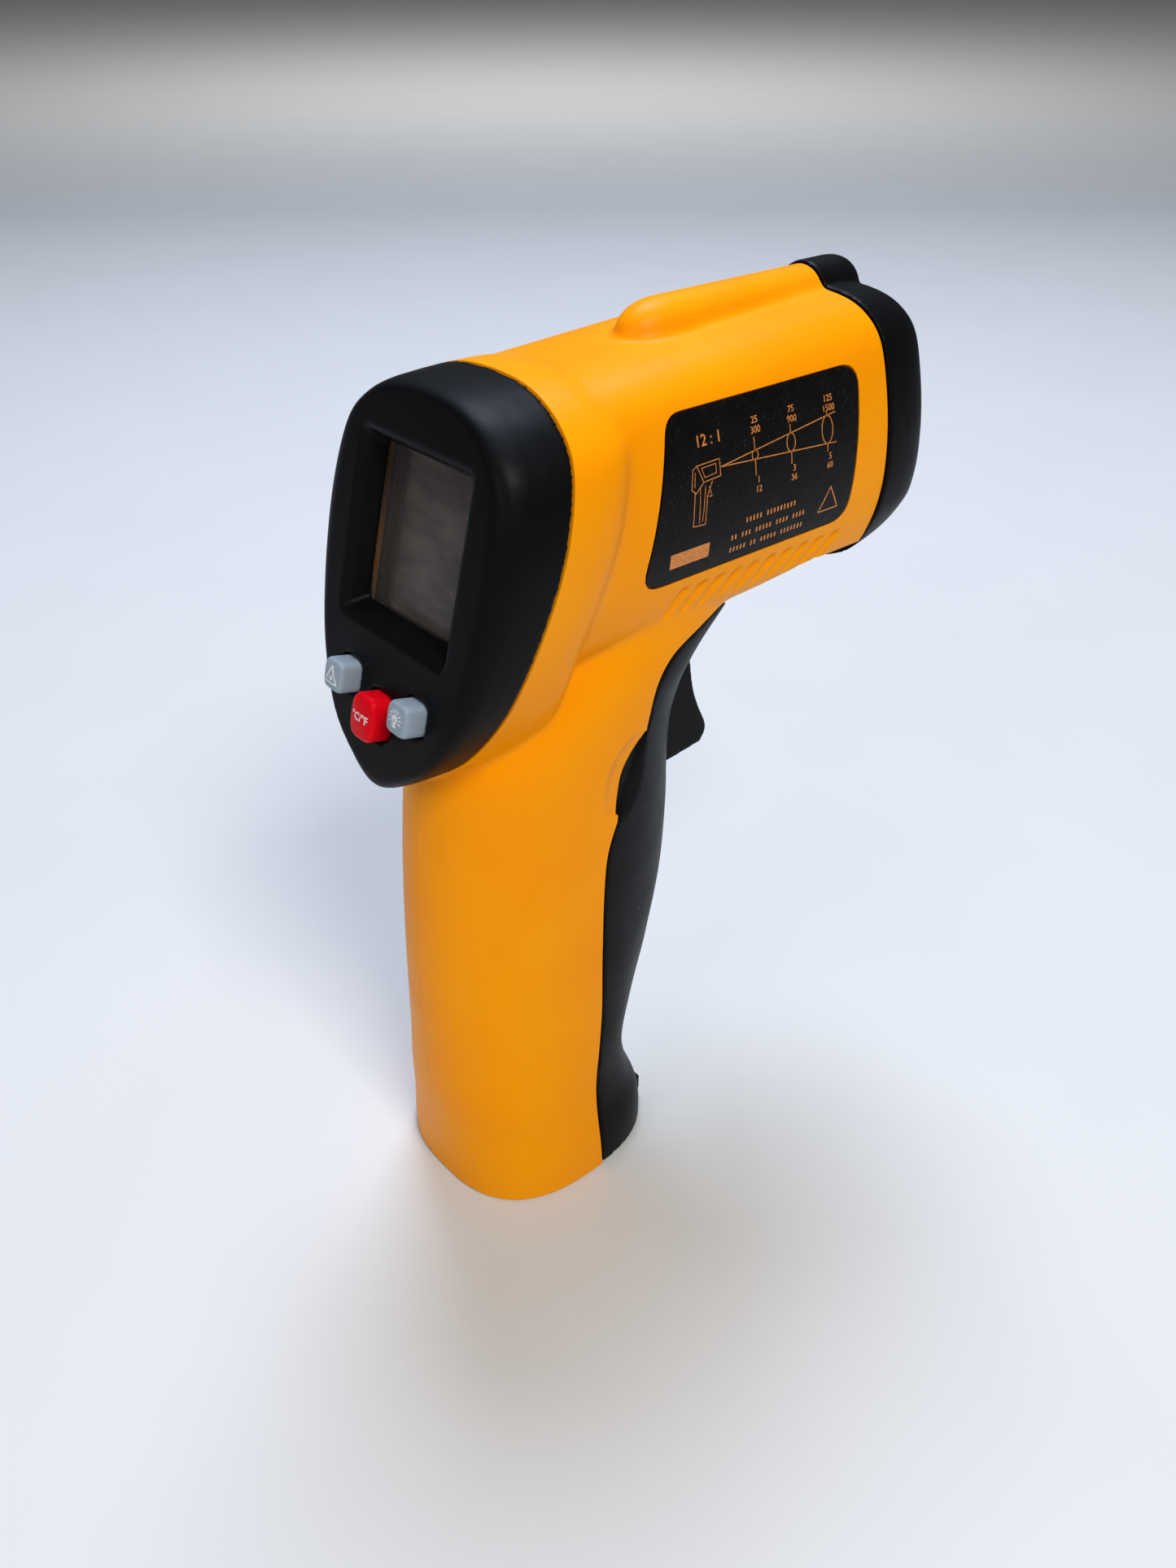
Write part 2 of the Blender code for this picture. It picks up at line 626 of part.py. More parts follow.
def housing_half(side):
    """One half of the housing: +1 is the left one, which the screws enter."""
    shell = outer_solid()
    cut(shell, handle_solid(WALL, foot=WALL, top=103.0), collar_solid(WALL + 0.2, start=COLLAR_START - WALL),
        barrel_solid(WALL, start=BARREL_START + 6, end=BARREL_END + 2), box(*NECK), box(*THROAT),
        side_block(side), solver="MANIFOLD")
    core = join(handle_solid(RIB_ROOT, foot=0.0, top=107.0), barrel_solid(RIB_ROOT, end=BARREL_END - 0.5))
    join(shell, *shell_ribs(side, core), solver="MANIFOLD")
    for x, z in SCREWS:
        join(shell, keep(screw_boss(side, x, z), copy(core)), solver="MANIFOLD")
    remove(core)
    cut(shell, side_block(side), solver="MANIFOLD")
    for x, z in SCREWS:
        cut(shell, *screw_ways(side, x, z), solver="MANIFOLD")
    hinge_x, hinge_z = DOOR_HINGE
    pivot_x, pivot_z = TRIGGER_PIVOT
    cut(shell, rod(DOOR_PIN_RADIUS + GAP, (hinge_x, -SIDE_REACH / 2, hinge_z), SIDE_REACH),
        rod(TRIGGER_PIN_RADIUS + GAP, (pivot_x, -9.0, pivot_z), 18),
        rod(LASER_RADIUS + GAP, (58, 0, LASER_Z), 30, "X"),
        label_pocket(side), notch_prism(side), *groove_tools(side), solver="MANIFOLD")
    return shell


def label_blank(side, swell=0.0):
    """The label's outline as a prism that goes right through one side of the barrel."""
    middle = Vector((sum(x for x, z in LABEL) / 4, sum(z for x, z in LABEL) / 4))
    corners = []
    for x, z in LABEL:
        out = Vector((x, z)) - middle
        corners.append((x + swell * (1 if out.x > 0 else -1), z + swell * (1 if out.y > 0 else -1)))
    low, high = sorted((side * 10, side * 30))
    return prism(corners, "XZ", low, high, corner=LABEL_CORNER + swell, segments=4)


def label_pocket(side):
    return cut(label_blank(side, GAP), barrel_solid(LABEL_THICKNESS + GAP))


def side_label(side):
    sheet = keep(label_blank(side), barrel_solid())
    return cut(sheet, barrel_solid(LABEL_THICKNESS))


def groove_tools(side):
    """Slanted slots in the lower corner of one side of the barrel."""
    tools = []
    for i in range(GROOVES):
        top = Vector(GROOVE_TOP) + Vector((GROOVE_PITCH * i, 0))
        foot = Vector(GROOVE_FOOT) + Vector((GROOVE_PITCH * i, 0))
        across = Vector((1, 0)) * GROOVE_WIDTH / 2
        outline = [top - across, top + across, foot + across, foot - across]
        low, high = sorted((side * 14.5, side * 30))
        tools.append(cut(prism([tuple(p) for p in outline], "XZ", low, high), barrel_solid(GROOVE_DEPTH)))
    return tools


def notch_prism(side, shift=0.0):
    """The thumb scoop's outline through one side wall, its edge moved forward by shift."""
    curve = catmull_rom(NOTCH, 3, closed=False)
    outline = [(p.x + shift, p.y) for p in curve]
    outline[0] = (outline[0][0], NOTCH[0][1] + shift)
    outline[-1] = (outline[-1][0], NOTCH[-1][1] - shift)
    outline += [(NOTCH_FRONT_X, NOTCH[-1][1] - shift), (NOTCH_FRONT_X, NOTCH[0][1] + shift)]
    low, high = sorted((side * NOTCH_INNER_Y, side * 30))
    return prism(outline, "XZ", low, high)


# ---------------------------------------------------------------------------- front and rear


def rear_bezel():
    """The frame round the display, hollow behind, with a sloping recess and the key openings."""
    face, full = full_outline(FACE_EDGE), full_outline(EGG)
    bezel = loft([on_seam(mixed(face, full, share), depth) for depth, share in BEZEL_RINGS])
    inner = [(2.07, 0.7), (4.0, 0.86), (BEZEL_DEPTH + 1, 1.0)]
    cut(bezel, loft([on_seam(inset(mixed(face, full, share), WALL), depth) for depth, share in inner]))
    mouth_y, mouth_low, mouth_high = RECESS_MOUTH
    join(bezel, on_face(box((1.0, -mouth_y - RECESS_RIM, mouth_low - RECESS_RIM),
                            (RECESS_DEPTH, mouth_y + RECESS_RIM, mouth_high + RECESS_RIM))))
    over = 0.1  # how far the recess's cutter reaches past each end
    slope = over / RECESS_DEPTH

    def ring(depth, share):
        y, low, high = (a + (b - a) * share for a, b in zip(RECESS_MOUTH, RECESS_FLOOR))
        return [Vector(p) for p in ((depth, -y, low), (depth, y, low), (depth, y, high), (depth, -y, high))]

    cut(bezel, on_face(loft([ring(-over, -slope), ring(RECESS_DEPTH + over, 1 + slope)])))
    for _, y, v, half_width, half_height, _, _ in KEYS:
        cut(bezel, on_face(box((-3, y - half_width - GAP, v - half_height - GAP),
                               (5, y + half_width + GAP, v + half_height + GAP), KEY_CORNER + GAP)))
    return bezel


def key(y, v, half_width, half_height, proud):
    """A key cap with the flange that holds it behind the face and the stem that meets its switch."""
    start, end = KEY_FLANGE_DEPTHS
    wide, tall = half_width + KEY_FLANGE, half_height + KEY_FLANGE
    cap = on_face(box((-proud, y - half_width, v - half_height), (end - 0.2, y + half_width, v + half_height),
                      KEY_CORNER))
    flange = on_face(box((start, y - wide, v - tall), (end, y + wide, v + tall)))
    stem_start, length, radius = KEY_STEM
    return join(cap, flange, on_face(rod(radius, (stem_start, y, v), length, "X", 12)))


def key_switch(y, v):
    """A push switch on the board behind a key."""
    half = SWITCH_HALF_WIDTH
    body = on_face(box((SWITCH_DEPTH, y - half, v - half), (BOARD_DEPTH - GAP, y + half, v + half)))
    start, length, radius = SWITCH_PLUNGER
    return join(body, on_face(rod(radius, (start, y, v), length, "X", 12)))


def main_board():
    """The circuit board behind the display, with its chip, cut out round the screws' bosses."""
    egg = inset(full_outline(EGG), BOARD_INSET)
    depth = BOARD_DEPTH / cos(LEAN_ANGLE)
    board = join(loft([on_depth(egg, depth), on_depth(egg, depth + BOARD_THICKNESS)]), on_face(box(*CHIP)))
    for x, z in SCREWS:
        cut(board, rod(BOSS_RADIUS + 2 * GAP, (x, -30, z), 60))
    return board


def nose_solid(inwards, rings):
    outline = barrel_outline(BARREL_END, inwards)
    return loft([on_x(inset(outline, more - NOSE_PROUD), x) for x, more in rings])


def nose_ring():
    nose = nose_solid(0.0, NOSE_EDGE_RINGS)
    join(nose, hump_solid(NOSE_PROUD, NOSE_RIDGE_RINGS))
    cut(nose, nose_solid(WALL + NOSE_PROUD, [(NOSE_START - 1, 0.0), (NOSE_HOLLOW_END, 0.0)]))
    mouth = (NOSE_END - APERTURE_X + 0.1, APERTURE_RADIUS)
    cut(nose, turned([*APERTURE_PROFILE, mouth], (APERTURE_X, 0, OPTICS_Z), "X", 32),
        rod(LASER_RADIUS + GAP, (80, 0, LASER_Z), 12, "X"), rod(LASER_PORT_RADIUS, (91, 0, LASER_Z), 6, "X"))
    return nose


# ---------------------------------------------------------------------------- moving pieces


def battery_door():
    """The black front of the grip, open at the top around the trigger, hinged at the foot."""
    door = keep(handle_solid(), door_region(GAP / 2))
    for side in (-1, 1):
        join(door, keep(notch_prism(side, GAP), handle_solid(NOTCH_DEPTH)))
    cut(door, handle_solid(WALL, foot=-2.0, top=112.0), barrel_solid(-GAP))
    cut(door, box((38, -SLOT_HALF_WIDTH, SLOT_FOOT_Z), (80, SLOT_HALF_WIDTH, 120)))
    hinge_x, hinge_z = DOOR_HINGE
    web_low_x, web_high_x, web_low_z, web_high_z = KNUCKLE_WEB
    for side in (-1, 1):
        low, high = sorted((side * KNUCKLE_INNER_Y, side * DOOR_PIN_HALF_LENGTH))
        knuckle = rod(KNUCKLE_RADIUS, (hinge_x, low, hinge_z), high - low)
        web = box((hinge_x + web_low_x, low, hinge_z + web_low_z),
                  (hinge_x + web_high_x, high, hinge_z + web_high_z))
        join(door, join(knuckle, keep(web, handle_solid(1.0))))
    half = DOOR_PIN_HALF_LENGTH + GAP
    return cut(door, rod(DOOR_PIN_RADIUS + GAP, (hinge_x, -half, hinge_z), 2 * half))


def trigger():
    """The trigger's blade, its rims rounded, with slots beside its arm and a bore for its pin."""
    blade = prism(TRIGGER, "XZ", -TRIGGER_HALF_WIDTH, TRIGGER_HALF_WIDTH)
    bm = bmesh.new()
    bm.from_mesh(blade.data)
    rims = [e for e in bm.edges if abs(e.verts[0].co.y - e.verts[1].co.y) < TRIGGER_HALF_WIDTH]
    bmesh.ops.bevel(bm, geom=rims, offset=TRIGGER_EDGE, segments=2, affect="EDGES", profile=0.5)
    bm.to_mesh(blade.data)
    bm.free()
    pivot_x, pivot_z = TRIGGER_PIVOT
    inner, outer, foot = TRIGGER_SLOT
    for side in (-1, 1):
        low, high = sorted((side * inner, side * outer))
        cut(blade, box((pivot_x - 9, low, foot), (pivot_x + 11, high, pivot_z + 10)))
    return cut(blade, rod(TRIGGER_PIN_RADIUS + GAP, (pivot_x, -10, pivot_z), 20))


def trigger_spring():
    """A torsion spring round the trigger's pin, with one leg down and one leg back."""
    x, z = TRIGGER_PIVOT
    steps = 12
    coil = []
    for i in range(int(SPRING_TURNS * steps) + 1):
        angle = 2 * pi * i / steps
        coil.append((x + SPRING_RADIUS * cos(angle), SPRING_START_Y + SPRING_PITCH * i / steps,
                     z + SPRING_RADIUS * sin(angle)))
    first, last = Vector(coil[0]), Vector(coil[-1])
    down = [tuple(first + Vector((0, 0, -leg))) for leg in (SPRING_LEG, SPRING_LEG / 2)]
    back = [tuple(last + Vector((-leg, 0, 0))) for leg in (SPRING_LEG / 2, SPRING_LEG)]
    return wire("trigger_spring", down + coil + back, SPRING_WIRE_RADIUS, smooth_steps=1, sides=1)


# ---------------------------------------------------------------------------- inside pieces


def optics_tube():
    """The tube that holds the sensor at its rear and the lens at its front."""
    start = (TUBE_X, 0, OPTICS_Z)
    return cut(turned(TUBE_PROFILE, start, sides=28), turned(TUBE_BORE, start, sides=28))


def battery():
    """A 9 V block with its stud and its socket."""
    case = box(BATTERY_LOW, BATTERY_HIGH, BATTERY_CORNER)
    middle_x = (BATTERY_LOW[0] + BATTERY_HIGH[0]) / 2
    start = BATTERY_HIGH[2] - 1
    stud = rod(STUD_RADIUS, (middle_x, BATTERY_TERMINAL_Y, start), TERMINAL_HEIGHT + 1, "Z", 12)
    socket = rod(SOCKET_RADIUS, (middle_x, -BATTERY_TERMINAL_Y, start), TERMINAL_HEIGHT + 1, "Z", 6)
    return join(case, stud, socket)


def battery_snap():
    """The cap that clips on the battery's terminals."""
    low, high = (z + BATTERY_HIGH[2] for z in SNAP_HEIGHTS)
    return box((BATTERY_LOW[0] + SNAP_INSET, BATTERY_LOW[1] + SNAP_INSET, low),
               (BATTERY_HIGH[0] - SNAP_INSET, BATTERY_HIGH[1] - SNAP_INSET, high), 0.8)


def screw(x, z):
    """A self-tapping screw with a cross in its head."""
    made = turned(SCREW_PROFILE, (x, SCREW_TIP_Y, z), "Y", 16)
    low_y, high_y = SCREW_CROSS_Y
    for half_x, half_z in (SCREW_CROSS, SCREW_CROSS[::-1]):
        cut(made, box((x - half_x, low_y, z - half_z), (x + half_x, high_y, z + half_z)))
    return made


def build_shells(yellow, black):
    """The yellow halves, the black ends and the labels."""
    printed = material("black_label", 0x121214, 0.5)
    finish(housing_half(1), "housing_left", yellow)
    finish(housing_half(-1), "housing_right", yellow)
    finish(rear_bezel(), "rear_bezel", black)
    finish(nose_ring(), "nose_ring", black)
    finish(side_label(1), "label_left", printed)
    finish(side_label(-1), "label_right", printed)


def build_display(green, switch_black):
    """The window, the display and its board, the keys and their switches."""
    finish(on_face(box(*WINDOW)), "display_window", material("clear_acrylic", 0xC9C4BE, 0.05, alpha=0.35))
    finish(on_face(box(*LCD)), "lcd_panel", material("lcd_glass", 0x6B625B, 0.12))
    finish(on_face(box(*BACKLIGHT)), "lcd_backlight", material("white_diffuser", 0xE8E8E2, 0.5))
    finish(main_board(), "main_board", green)
    for name, y, v, half_width, half_height, proud, colour in KEYS:
        pivot = face_matrix() @ Vector((0, y, v))
        cap_finish = material(f"key_{'red' if name == 'unit' else 'grey'}", colour, 0.45)
        finish(key(y, v, half_width, half_height, proud), f"key_{name}", cap_finish, pivot)
        finish(key_switch(y, v), f"switch_{name}", switch_black)


def build_optics(green, steel, black):
    """The optics tube with its lens and sensor, and the laser."""
    finish(optics_tube(), "optics_tube", black)
    finish(turned(LENS_PROFILE, (LENS_X, 0, OPTICS_Z), sides=28), "ir_lens",
           material("infrared_window", 0x3A3A40, 0.15))
    finish(turned(THERMOPILE_PROFILE, (THERMOPILE_X, 0, OPTICS_Z), sides=20), "thermopile", steel)
    x, radius, thickness = SENSOR_BOARD
    finish(rod(radius, (x, 0, OPTICS_Z), thickness, "X", 24), "sensor_board", green)
    finish(turned(LASER_PROFILE, (LASER_X, 0, LASER_Z), sides=18), "laser_module",
           material("brass", 0xC9A24B, 0.3, 1.0))
    finish(rod(2.9, (89.6, 0, LASER_Z), 1.6, "X"), "laser_window", material("tinted_acrylic", 0x5A1014, 0.1))


def build_trigger(black, steel, switch_black):
    """The trigger with its pin, spring and switch."""
    x, z = TRIGGER_PIVOT
    finish(trigger(), "trigger", black, (x, 0, z))
    pin = rod(TRIGGER_PIN_RADIUS, (x, -TRIGGER_PIN_HALF_LENGTH, z), 2 * TRIGGER_PIN_HALF_LENGTH)
    finish(pin, "trigger_pin", steel)
    trigger_spring().data.materials.append(steel)
    plunger = rod(1.4, (TRIGGER_SWITCH[1][0] - 0.8, 0, 98.0), 2.9, "X", 12)
    finish(join(box(*TRIGGER_SWITCH), plunger), "trigger_switch", switch_black)


def build_power(black, steel):
    """The battery door with its pin, the battery and its snap."""
    x, z = DOOR_HINGE
    finish(battery_door(), "battery_door", black, (x, 0, z))
    pin = rod(DOOR_PIN_RADIUS, (x, -DOOR_PIN_HALF_LENGTH, z), 2 * DOOR_PIN_HALF_LENGTH)
    finish(pin, "door_pin", steel)
    finish(battery(), "battery", material("battery_jacket", 0x2B4C8C, 0.35))
    finish(battery_snap(), "battery_snap", material("black_pvc", 0x1A1A1C, 0.45))


def build_leads():
    """The leads of the battery and the laser, a red and a black one each, and the sensor's cable."""
    lead_start = (20, 3, BATTERY_HIGH[2] + SNAP_HEIGHTS[1] + GAP)
    for name, side, colour in (("red", 1, 0xB3141A), ("black", -1, 0x1A1A1C)):
        jacket = material(f"{name}_pvc", colour, 0.45)
        for kind, way, radius in (("battery", [lead_start, *BATTERY_LEAD], BATTERY_LEAD_RADIUS),
                                  ("laser", LASER_LEAD, LASER_LEAD_RADIUS)):
            lead = wire(f"{kind}_lead_{name}", [(x, y * side, z) for x, y, z in way], radius)
            lead.data.materials.append(jacket)
    cable = wire("sensor_cable", SENSOR_CABLE, SENSOR_CABLE_RADIUS)
    cable.data.materials.append(material("grey_pvc", 0x7C8084, 0.5))


def main():
    for obj in list(bpy.data.objects):
        bpy.data.objects.remove(obj)

    black = material("black_abs", BLACK, 0.42)
    steel = material("zinc_steel", 0xB9BBBD, 0.3, 1.0)
    green = material("green_board", 0x1F5A34, 0.45)
    switch_black = material("switch_black", 0x222326, 0.4)

    build_shells(material("yellow_abs", YELLOW, 0.38), black)
    build_display(green, switch_black)
    build_optics(green, steel, black)
    build_trigger(black, steel, switch_black)
    build_power(black, steel)
    build_leads()
    for i, (x, z) in enumerate(SCREWS, 1):
        finish(screw(x, z), f"screw_{i}", steel)


main()
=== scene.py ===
"""Looks of the infrared thermometer: moulded shells, printed labels, display and keys round its CAD frame.

All sizes below are millimetres in the part's drawing frame, whose x = 0 is the rear bottom edge of the
handle; `place` takes a point from there to the part's frame in metres.
"""

import logging
from dataclasses import dataclass, field
from enum import Enum
from math import atan, cos, pi, radians, sin

import bmesh
import bpy
from mathutils import Matrix, Vector
from mathutils.bvhtree import BVHTree


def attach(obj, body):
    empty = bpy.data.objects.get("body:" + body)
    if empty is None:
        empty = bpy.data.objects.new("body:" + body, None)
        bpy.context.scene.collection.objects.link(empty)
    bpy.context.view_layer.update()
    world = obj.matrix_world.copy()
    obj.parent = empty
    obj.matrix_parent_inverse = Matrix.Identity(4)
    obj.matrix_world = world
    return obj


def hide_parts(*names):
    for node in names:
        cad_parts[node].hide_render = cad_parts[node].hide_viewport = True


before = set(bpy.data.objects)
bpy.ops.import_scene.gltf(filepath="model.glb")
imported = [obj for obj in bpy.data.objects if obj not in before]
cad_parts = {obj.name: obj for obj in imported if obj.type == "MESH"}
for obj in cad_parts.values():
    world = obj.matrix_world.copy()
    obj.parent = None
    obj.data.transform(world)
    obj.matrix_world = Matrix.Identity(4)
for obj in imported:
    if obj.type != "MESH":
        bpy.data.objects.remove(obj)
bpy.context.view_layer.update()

LOG = logging.getLogger("thermometer")

Outline = list[Vector]
Ring = list[Vector]

MM = 0.001
CENTRE_X = 43.72
GAP = 0.3
WALL = 2.0

# Faces round a section, inside and out, and where cutters that clear a whole region end
OUTER_SIDES = 112
INNER_SIDES = 64
ROUND_SIDES = 48
SIDE_REACH = 40.0
LOW_REACH = -20.0
HIGH_REACH = 180.0
FRONT_REACH = 140.0

# Rear face plane
LEAN = 0.265
FACE_X_AT_BASE = -30.1
FACE_REF_Z = 120.0
LEAN_ANGLE = atan(LEAN)

# The seam between bezel and collar leans more than the face; the collar's foot runs back over the grip
BEZEL_DEPTH = 9.3
COLLAR_START = 9.6
SEAM_LEAN = 0.049
SEAM_LEVEL_Z = 112.6
FOOT_Z = 112.0
FOOT_HEIGHT = 22.4
FOOT_BACK = 5.5
FOOT_DROP = 3.2
FOOT_BLEND = 9.0

# Half outlines (y, z), from the top middle to the bottom middle
EGG = [(0, 148.2), (9, 147.3), (16.2, 144), (20.6, 139), (22.6, 129.5),
       (21.5, 118), (18.2, 106.5), (12.4, 97.5), (5.7, 92), (0, 89.6)]
FACE_EDGE = [(0, 146.8), (8.2, 146), (13.2, 143.4), (16.4, 139.2), (17.8, 130),
             (17.7, 118.5), (15.9, 107.8), (11.5, 98.9), (5.2, 94.4), (0, 92.8)]
BARREL = [(0, 150), (8, 149.7), (13.2, 148.1), (17, 144.6), (19.3, 138), (20.8, 130),
          (21, 122), (19.4, 114.8), (16.1, 108.9), (9.9, 105.4), (0, 104.6)]
BARREL_START, BARREL_END = 14.0, 83.0
BARREL_REAR_WIDTH, BARREL_REAR_DROP = 0.945, 3.6
OPTICS_Z = 126.0
LASER_Z = 147.4
LASER_WAY_RADIUS = 3.3

# Handle stations: z, rear x, front x, half width, roundness
HANDLE = [
    (0.0, 0.6, 42.5, 20.0, 2.6), (6.0, 0.4, 42.7, 19.7, 2.5), (13.0, 0.1, 40.5, 18.9, 2.3),
    (21.0, -0.4, 39.9, 18.2, 2.2), (31.0, -0.5, 43.1, 17.6, 2.1), (42.0, -0.5, 47.1, 17.1, 2.1),
    (56.0, -0.1, 50.4, 17.0, 2.1), (70.0, 0.8, 51.3, 17.0, 2.1), (81.0, 2.0, 51.0, 17.0, 2.1),
    (89.0, 3.6, 51.4, 17.2, 2.1), (96.0, 7.4, 53.7, 17.4, 2.1), (102.0, 12.0, 58.5, 17.4, 2.1),
    (108.0, 16.0, 65.6, 17.0, 2.1),
]
DOOR_LINE = [(24.2, -3), (23.9, 10), (24.1, 19), (25.5, 29), (26.3, 38), (26.4, 50), (26.7, 64),
             (27.6, 72), (30.5, 79), (33.4, 84.6), (35.2, 89), (36, 94), (37.3, 100), (40.5, 103.9),
             (46, 106.2), (53, 108), (70, 111)]
NOTCH = [(29.1, 77.8), (30.0, 81.5), (31.3, 86.0), (35.0, 91.8)]
DOOR_HINGE = (35.5, 2.6)
TRIGGER_PIVOT = (49.0, 110.5)
TRIGGER = [(46.2, 112.5), (49, 113.9), (52, 112.4), (55, 106), (56.3, 99), (56.7, 93),
           (57.8, 86.5), (59.4, 82), (61.3, 78), (61.5, 76), (60.6, 74.5), (59.2, 73.9),
           (46, 72.9), (44.2, 74.6), (43.6, 85), (44.5, 98), (45.3, 106)]
LABEL = [(37.2, 142), (76.6, 142.3), (74.6, 118.4), (30.4, 118.2)]
LABEL_CORNER = 3.4
SCREWS = [(5.4, 20.0), (11.5, 72.0), (29.0, 142.0), (79.0, 111.4)]


class Body(Enum):
    """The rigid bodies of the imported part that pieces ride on."""

    HOUSING = "housing"
    DOOR = "door"
    TRIGGER = "trigger"
    LASER_KEY = "laser_key"
    UNIT_KEY = "unit_key"
    BACKLIGHT_KEY = "backlight_key"


# ---------------------------------------------------------------------------- outlines


def place(point: Vector) -> Vector:
    """A drawing-frame point in millimetres as a part-frame point in metres."""
    return Vector((point.x - CENTRE_X, point.y, point.z)) * MM


def smooth_line(points: list, steps: int, closed: bool) -> Outline:
    """A Catmull-Rom curve through the points.

    Args:
        points: the points that the curve passes through.
        steps: how many pieces each span is cut into.
        closed: whether the last point joins the first.

    Returns:
        The curve's points.
    """
    points = [Vector(p) for p in points]
    count = len(points)
    curve = []
    for i in range(count if closed else count - 1):
        if closed:
            p0, p1, p2, p3 = (points[(i + k) % count] for k in (-1, 0, 1, 2))
        else:
            p1, p2 = points[i], points[i + 1]
            p0 = points[i - 1] if i else 2 * p1 - p2
            p3 = points[i + 2] if i + 2 < count else 2 * p2 - p1
        for k in range(steps):
            t = k / steps
            curve.append(0.5 * (2 * p1 + (p2 - p0) * t + (2 * p0 - 5 * p1 + 4 * p2 - p3) * t**2
                                + (3 * p1 - p0 - 3 * p2 + p3) * t**3))
    if not closed:
        curve.append(points[-1])
    return curve


def full_outline(half: list, steps: int = 8) -> Outline:
    """The closed outline of a half that runs from the top middle to the bottom middle."""
    return smooth_line(list(half) + [(-y, z) for y, z in half[-2:0:-1]], steps, closed=True)


def inset(outline: Outline, distance: float) -> Outline:
    """Moves a clockwise outline inwards along its normals.

    Args:
        outline: the closed outline.
        distance: how far it moves.

    Returns:
        The moved outline.
    """
    moved = []
    for i, point in enumerate(outline):
        along = (outline[(i + 1) % len(outline)] - outline[i - 1]).normalized()
        moved.append(point + distance * Vector((along.y, -along.x)))
    return moved


def table_at(table: list[tuple], at: float) -> list[float]:
    """Reads a table smoothly at a value of its first column.

    Args:
        table: rows in rising order of the first column.
        at: the value.

    Returns:
        The other columns there.
    """
    above = next((i for i, row in enumerate(table) if row[0] > at), len(table) - 1)
    i = min(max(above - 1, 0), len(table) - 2)
    rows = [table[min(max(i + k, 0), len(table) - 1)] for k in (-1, 0, 1, 2)]
    t = (at - rows[1][0]) / (rows[2][0] - rows[1][0])
    return [0.5 * (2 * p1 + (p2 - p0) * t + (2 * p0 - 5 * p1 + 4 * p2 - p3) * t**2
                   + (3 * p1 - p0 - 3 * p2 + p3) * t**3)
            for p0, p1, p2, p3 in zip(*(row[1:] for row in rows))]


def superellipse(half_x: float, half_y: float, power: float, sides: int) -> list[tuple[float, float]]:
    """Points of a superellipse about the origin.

    Args:
        half_x: half its length.
        half_y: half its width.
        power: 2 for an ellipse, more for a squarer shape.
        sides: how many points.

    Returns:
        The points, anticlockwise.
    """
    points = []
    for i in range(sides):
        c, s = cos(2 * pi * i / sides), sin(2 * pi * i / sides)
        points.append((half_x * abs(c) ** (2 / power) * (1 if c > 0 else -1),
                       half_y * abs(s) ** (2 / power) * (1 if s > 0 else -1)))
    return points


def face_x(z: float) -> float:
    """The rear face's x at a height."""
    return FACE_X_AT_BASE + LEAN * z


def face_frame() -> Matrix:
    """The rear face's own axes (depth, y, height up the face) in the drawing frame."""
    return Matrix.Translation((face_x(FACE_REF_Z), 0, FACE_REF_Z)) @ Matrix.Rotation(LEAN_ANGLE, 4, "Y")


def on_face(depth: float, y: float, v: float) -> Vector:
    """A point given in the rear face's own axes, in the drawing frame."""
    return face_frame() @ Vector((depth, y, v))


def on_seam(outline: Outline, depth: float) -> Ring:
    """Lays an outline of the bezel or the collar behind the rear face.

    Args:
        outline: its (y, z) points.
        depth: how far behind the face it lies, along x.

    Returns:
        The ring, which leans more the deeper it lies and whose foot runs back over the grip.
    """
    lean = SEAM_LEAN * min(depth / BEZEL_DEPTH, 1.0)
    foot = min(max((depth - COLLAR_START) / FOOT_BLEND, 0.0), 1.0)
    ring = []
    for p in outline:
        sag = foot * max((FOOT_Z - p.y) / FOOT_HEIGHT, 0.0)
        x = face_x(p.y) + depth + lean * (p.y - SEAM_LEVEL_Z) + FOOT_BACK * sag
        ring.append(Vector((x, p.x, p.y - FOOT_DROP * sag)))
    return ring


def handle_ring(z: float, inwards: float = 0.0, sides: int = OUTER_SIDES) -> Ring:
    """A level section of the handle.

    Args:
        z: its height.
        inwards: how far it lies inside the surface.
        sides: how many points it has.

    Returns:
        The ring.
    """
    rear, front, half_width, power = table_at(HANDLE, z)
    middle, half_length = (rear + front) / 2, (front - rear) / 2
    return [Vector((middle + x, y, z))
            for x, y in superellipse(half_length - inwards, half_width - inwards, power, sides)]


def barrel_ring(x: float, inwards: float = 0.0) -> Ring:
    """A section of the barrel, narrower and lower towards the rear.

    Args:
        x: where it is cut.
        inwards: how far it lies inside the surface.

    Returns:
        The ring.
    """
    share = min(max((x - BARREL_START) / (BARREL_END - BARREL_START), 0), 1)
    width = BARREL_REAR_WIDTH + (1 - BARREL_REAR_WIDTH) * share
    foot = BARREL[-1][1]
    drop = BARREL_REAR_DROP * (1 - share)
    half = [(y * width, z - drop * ((z - foot) / (BARREL[0][1] - foot)) ** 3) for y, z in BARREL]
    return [Vector((x, p.x, p.y)) for p in inset(full_outline(half), inwards)]


def circle_ring(centre: tuple, radius: float, axis: str = "X", sides: int = ROUND_SIDES) -> Ring:
    """A circle.

    Args:
        centre: its centre.
        radius: its radius.
        axis: the axis that it is square to.
        sides: how many points it has.

    Returns:
        The ring.
    """
    ring = []
    for i in range(sides):
        a, b = radius * cos(2 * pi * i / sides), radius * sin(2 * pi * i / sides)
        offset = {"X": (0, a, b), "Y": (b, 0, a), "Z": (a, b, 0)}[axis]
        ring.append(Vector(centre) + Vector(offset))
    return ring


# ---------------------------------------------------------------------------- modelling by hand


